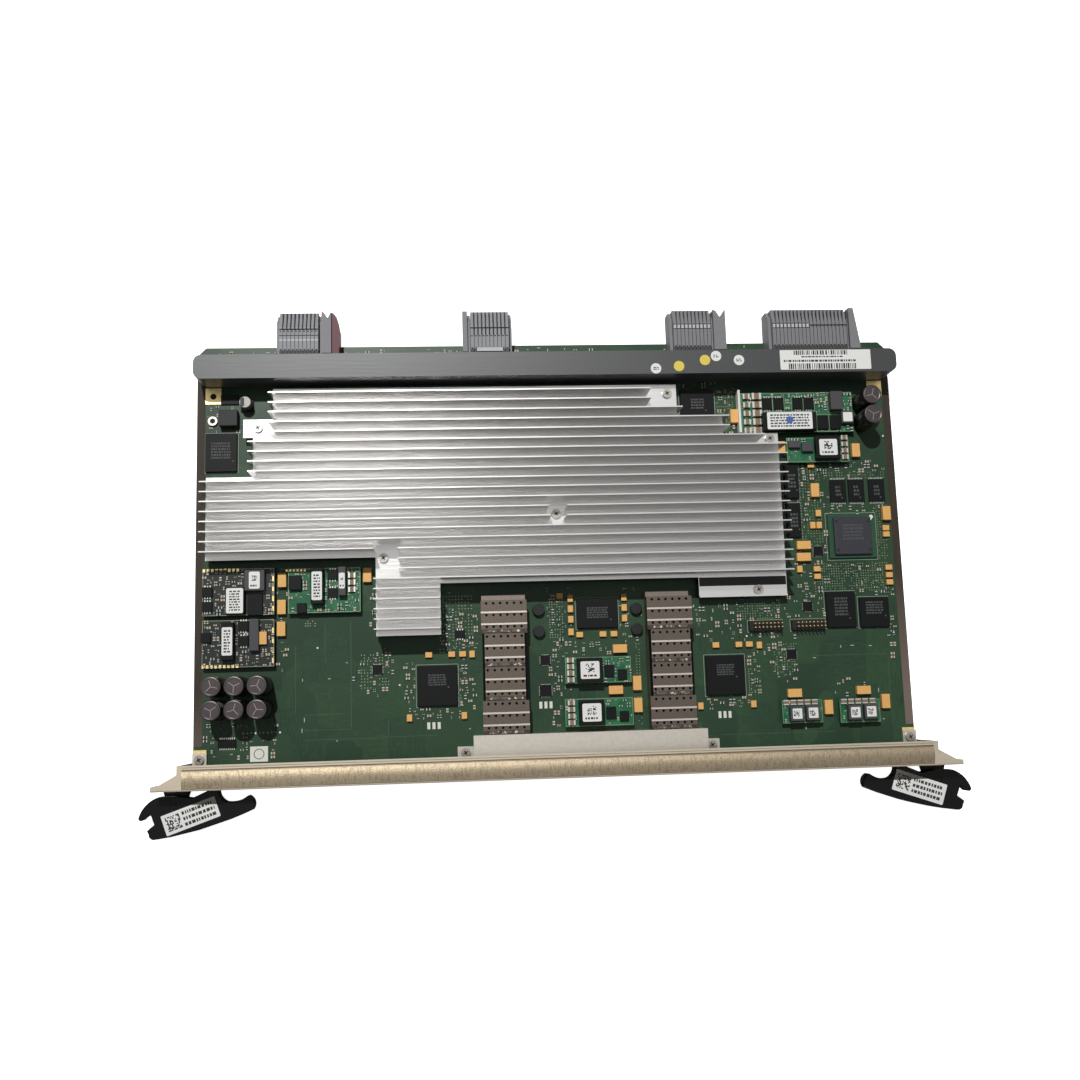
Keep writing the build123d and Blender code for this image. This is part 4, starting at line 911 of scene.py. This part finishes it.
# Front panel. Sheet aluminium bent to a channel and chromated, with a wing at each end. Two corner
# brackets join it to the board.
panel_metal = finish("panel_metal", (176, 166, 148), rough=0.42, metal=0.6, size=1.4, stretch=(10.0, 1.0),
                     contrast=0.14)
dress("front_panel", panel_metal)
bracket_metal = finish("bracket_metal", (180, 174, 162), rough=0.4, metal=0.6, size=1.4, contrast=0.14)
for side in ("left", "right"):
    dress("corner_bracket_" + side, bracket_metal)

# Shielding gasket. Conductive fabric woven over foam, glued along the panel's upper leg. It is creased,
# with its crease lines painted darker as shade; it is darker behind its rear seam, and painted darker
# towards the right as shade.
gasket_weave = finish("gasket_weave", (152, 139, 116), rough=0.42, metal=0.65, size=0.5, contrast=0.7,
                      bump=0.8)
weave_tree = gasket_weave.node_tree
creases = add_node(weave_tree, "ShaderNodeTexNoise", Scale=1 / mm, Detail=5.0, Roughness=0.7)
weave_tree.links.new(stretched_place(weave_tree, along_y=5.0), creases.inputs["Vector"])
# Painted shade in the creases.
crease_painted_shade = maths(weave_tree, "GREATER_THAN", creases.outputs["Fac"], 0.54)
tint_by(gasket_weave, maths(weave_tree, "MULTIPLY", crease_painted_shade, 0.4), (96, 84, 66))
weave_at = object_axes(weave_tree)
rear_seam = maths(weave_tree, "GREATER_THAN", weave_at["Y"], -105.5 * mm)
tint_by(gasket_weave, maths(weave_tree, "MULTIPLY", rear_seam, 0.8), (92, 82, 68))
# Painted shade: the gasket turns darker towards the right.
right_painted_shade = maths(weave_tree, "MULTIPLY", maths(weave_tree, "ADD", weave_at["X"], 120.0 * mm), 1.4, clamp=True)
tint_by(gasket_weave, right_painted_shade, (96, 85, 70))
dress("panel_gasket", gasket_weave)
gasket_glue = finish("gasket_glue", (88, 78, 62), rough=0.6, size=1.5, contrast=0.5)
gasket_top = 26.0
shape = bmesh.new()
for y, depth in ((-104.75, 0.4), (-103.6, 0.18), (-113.6, 0.3)):
    add_box(shape, 0, y, gasket_top, 366.0, depth, inlay)
new_piece("gasket_glue_lines", shape, gasket_glue)


# Port frame and cages. Tinned sheet steel; each cover is a perforated plate whose pressed ridges are
# painted paler as highlights, with faces below its top painted dark as shade in the holes, and darker
# spots along the fold at each tier. The cage's top is painted near black as shade, so that the holes
# over it read dark.
frame_metal = finish("frame_metal", (178, 172, 162), rough=0.4, metal=0.6, size=1.6, contrast=0.16)
dress("port_frame", frame_metal)
cage_metal = finish("cage_metal", (112, 102, 94), rough=0.34, metal=0.75, size=1.6, contrast=0.22)
cover_metal = finish("cover_metal", (86, 78, 71), rough=0.36, metal=0.7, size=0.7, contrast=0.3, bump=0.25)
cover_tree = cover_metal.node_tree
cover_at = object_axes(cover_tree)
ridge_height, plate_height = 14.32 * mm, 14.05 * mm
# Painted highlight: the tops of the ridges are paler.
tint_by(cover_metal, maths(cover_tree, "GREATER_THAN", cover_at["Z"], ridge_height), (176, 168, 158))
# Painted shade: faces below the plate's top, in the holes, are darker.
sunk_painted_shade = maths(cover_tree, "LESS_THAN", cover_at["Z"], plate_height)
tint_by(cover_metal, maths(cover_tree, "MULTIPLY", sunk_painted_shade, 0.9), (22, 18, 16))
first_tier, tier_length, fold_width = -93.1 * mm, 16.7 * mm, 2.1 * mm
tier_place = maths(cover_tree, "SUBTRACT", cover_at["Y"], first_tier)
tier_place = maths(cover_tree, "MODULO", tier_place, tier_length)
fold = maths(cover_tree, "LESS_THAN", tier_place, fold_width)
cover_spots = add_node(cover_tree, "ShaderNodeTexNoise", Scale=700.0, Detail=2.0)
cover_tree.links.new(stretched_place(cover_tree), cover_spots.inputs["Vector"])
spotted = maths(cover_tree, "GREATER_THAN", cover_spots.outputs["Fac"], 0.4)
# Darker in spots along the fold of each tier.
fold_darkening = maths(cover_tree, "MULTIPLY", maths(cover_tree, "MULTIPLY", fold, spotted), 0.85)
tint_by(cover_metal, fold_darkening, (52, 46, 42))
cage_tree = cage_metal.node_tree
# Painted shade: the cage's top is near black, so the holes over it read dark.
tint_by(cage_metal, maths(cage_tree, "GREATER_THAN", object_axes(cage_tree)["Z"], 12.9 * mm), (4, 4, 4))
for side in ("left", "right"):
    dress("transceiver_cage_" + side, cage_metal)
    dress("cage_cover_" + side, cover_metal)


# Pin headers. Two black moulded strips with gold-plated pins, soldered to the board in front of the
# right end of the heat sink.
dress("header_strips", choke_black)
dress("header_pins", gold_plate)


# Ejector levers. Black nylon with round moulded edges. Each turns on its pin in a hinge bracket, and
# carries its own label along.
lever_black = finish("lever_black", (10, 10, 12), rough=0.34, size=1.2, contrast=0.25, bump=0.12, shine=0.12)
softened("left_lever_body", ("ejector_left",), lever_black, 0.5, 3, "left_lever")
softened("right_lever_body", ("ejector_right",), lever_black, 0.5, 3, "right_lever")
for name in ("hinge_bracket_left", "hinge_bracket_right", "hinge_pins"):
    dress(name, lever_black)
lever_top = 12.5
for side, body, x, y, width, depth, turn in (
        (1, "right_lever", 179.6, -125.85, 27.0, 10.5, -19.04),
        (-1, "left_lever", -181.6, -127.15, 26.9, 10.0, 19.1)):
    shape = bmesh.new()
    add_sheet(shape, x, y, lever_top, width, depth, corner=0.5, turn=turn)
    at = turned(x, y, -width / 2 + 5.0, 0.0, turn)
    add_code_square(shape, 80 + side, at[0], at[1], lever_top + paper, 7.0, 12, turn=turn)
    at = turned(x, y, 4.2, 0.0, turn)
    add_dashes(shape, 84 + side, at[0], at[1], lever_top + paper, 15.6, 8.4, 3, turn=turn)
    new_piece(body + "_label", shape, label_slots, body)


# Floor, lamp and camera. A white floor, a small round lamp high behind and to the left, and the camera
# almost overhead. The camera's place, turn and lens come from a fit to the photograph.
floor_white = bpy.data.materials.new("floor_white")
floor_white.use_nodes = True
floor_tree = floor_white.node_tree
floor_shader = floor_tree.nodes["Principled BSDF"]
floor_shader.inputs["Base Color"].default_value = (0.9, 0.9, 0.9, 1.0)
floor_shader.inputs["Roughness"].default_value = 0.9
floor_shader.inputs["Emission Color"].default_value = (1.0, 1.0, 1.0, 1.0)
rays = add_node(floor_tree, "ShaderNodeLightPath")
floor_tree.links.new(rays.outputs["Is Camera Ray"], floor_shader.inputs["Emission Strength"])
floor_mesh = bmesh.new()
under_card = Matrix.Translation((0, 0, cad_low.z - 0.2 * mm))
bmesh.ops.create_grid(floor_mesh, x_segments=1, y_segments=1, size=4.0, matrix=under_card)
floor_data = bpy.data.meshes.new("floor")
floor_mesh.to_mesh(floor_data)
floor_mesh.free()
floor = bpy.data.objects.new("floor", floor_data)
floor_data.materials.append(floor_white)
bpy.context.scene.collection.objects.link(floor)

# Air round the card: bright to the camera and to reflections, and nearly dark as a light of its own, so
# that the shadows stay deep.
world = bpy.data.worlds.new("studio")
bpy.context.scene.world = world
world.use_nodes = True
air = world.node_tree
air_rays = add_node(air, "ShaderNodeLightPath").outputs
seen = maths(air, "ADD", air_rays["Is Camera Ray"], air_rays["Is Transmission Ray"])
seen = maths(air, "ADD", seen, air_rays["Is Glossy Ray"], clamp=True)
level = add_node(air, "ShaderNodeMapRange", To_Min=0.03, To_Max=1.0)
air.links.new(seen, level.inputs["Value"])
air.links.new(level.outputs[0], air.nodes["Background"].inputs["Strength"])
air.nodes["Background"].inputs["Color"].default_value = (1.0, 1.0, 1.0, 1.0)

key_lamp = bpy.data.lights.new("key_lamp", "AREA")
key_lamp.shape = "DISK"
key_lamp.size = 0.04
key_lamp.energy = 42.0
key_object = bpy.data.objects.new("key_lamp", key_lamp)
key_object.location = (-0.34, 0.95, 1.9)
key_object.rotation_euler = (Vector((0, 0, 0)) - key_object.location).to_track_quat("-Z", "Y").to_euler()
bpy.context.scene.collection.objects.link(key_object)

camera = bpy.data.cameras.new("camera")
camera.sensor_width = 36.0
camera.lens = 38.333
camera_object = bpy.data.objects.new("camera", camera)
camera_object.location = (-0.048355, -0.078898, 0.591042)
camera_object.rotation_euler = [math.radians(angle) for angle in (8.2560, -3.6953, -1.7360)]
bpy.context.scene.collection.objects.link(camera_object)
bpy.context.scene.camera = camera_object
bpy.context.scene.view_settings.view_transform = "Standard"
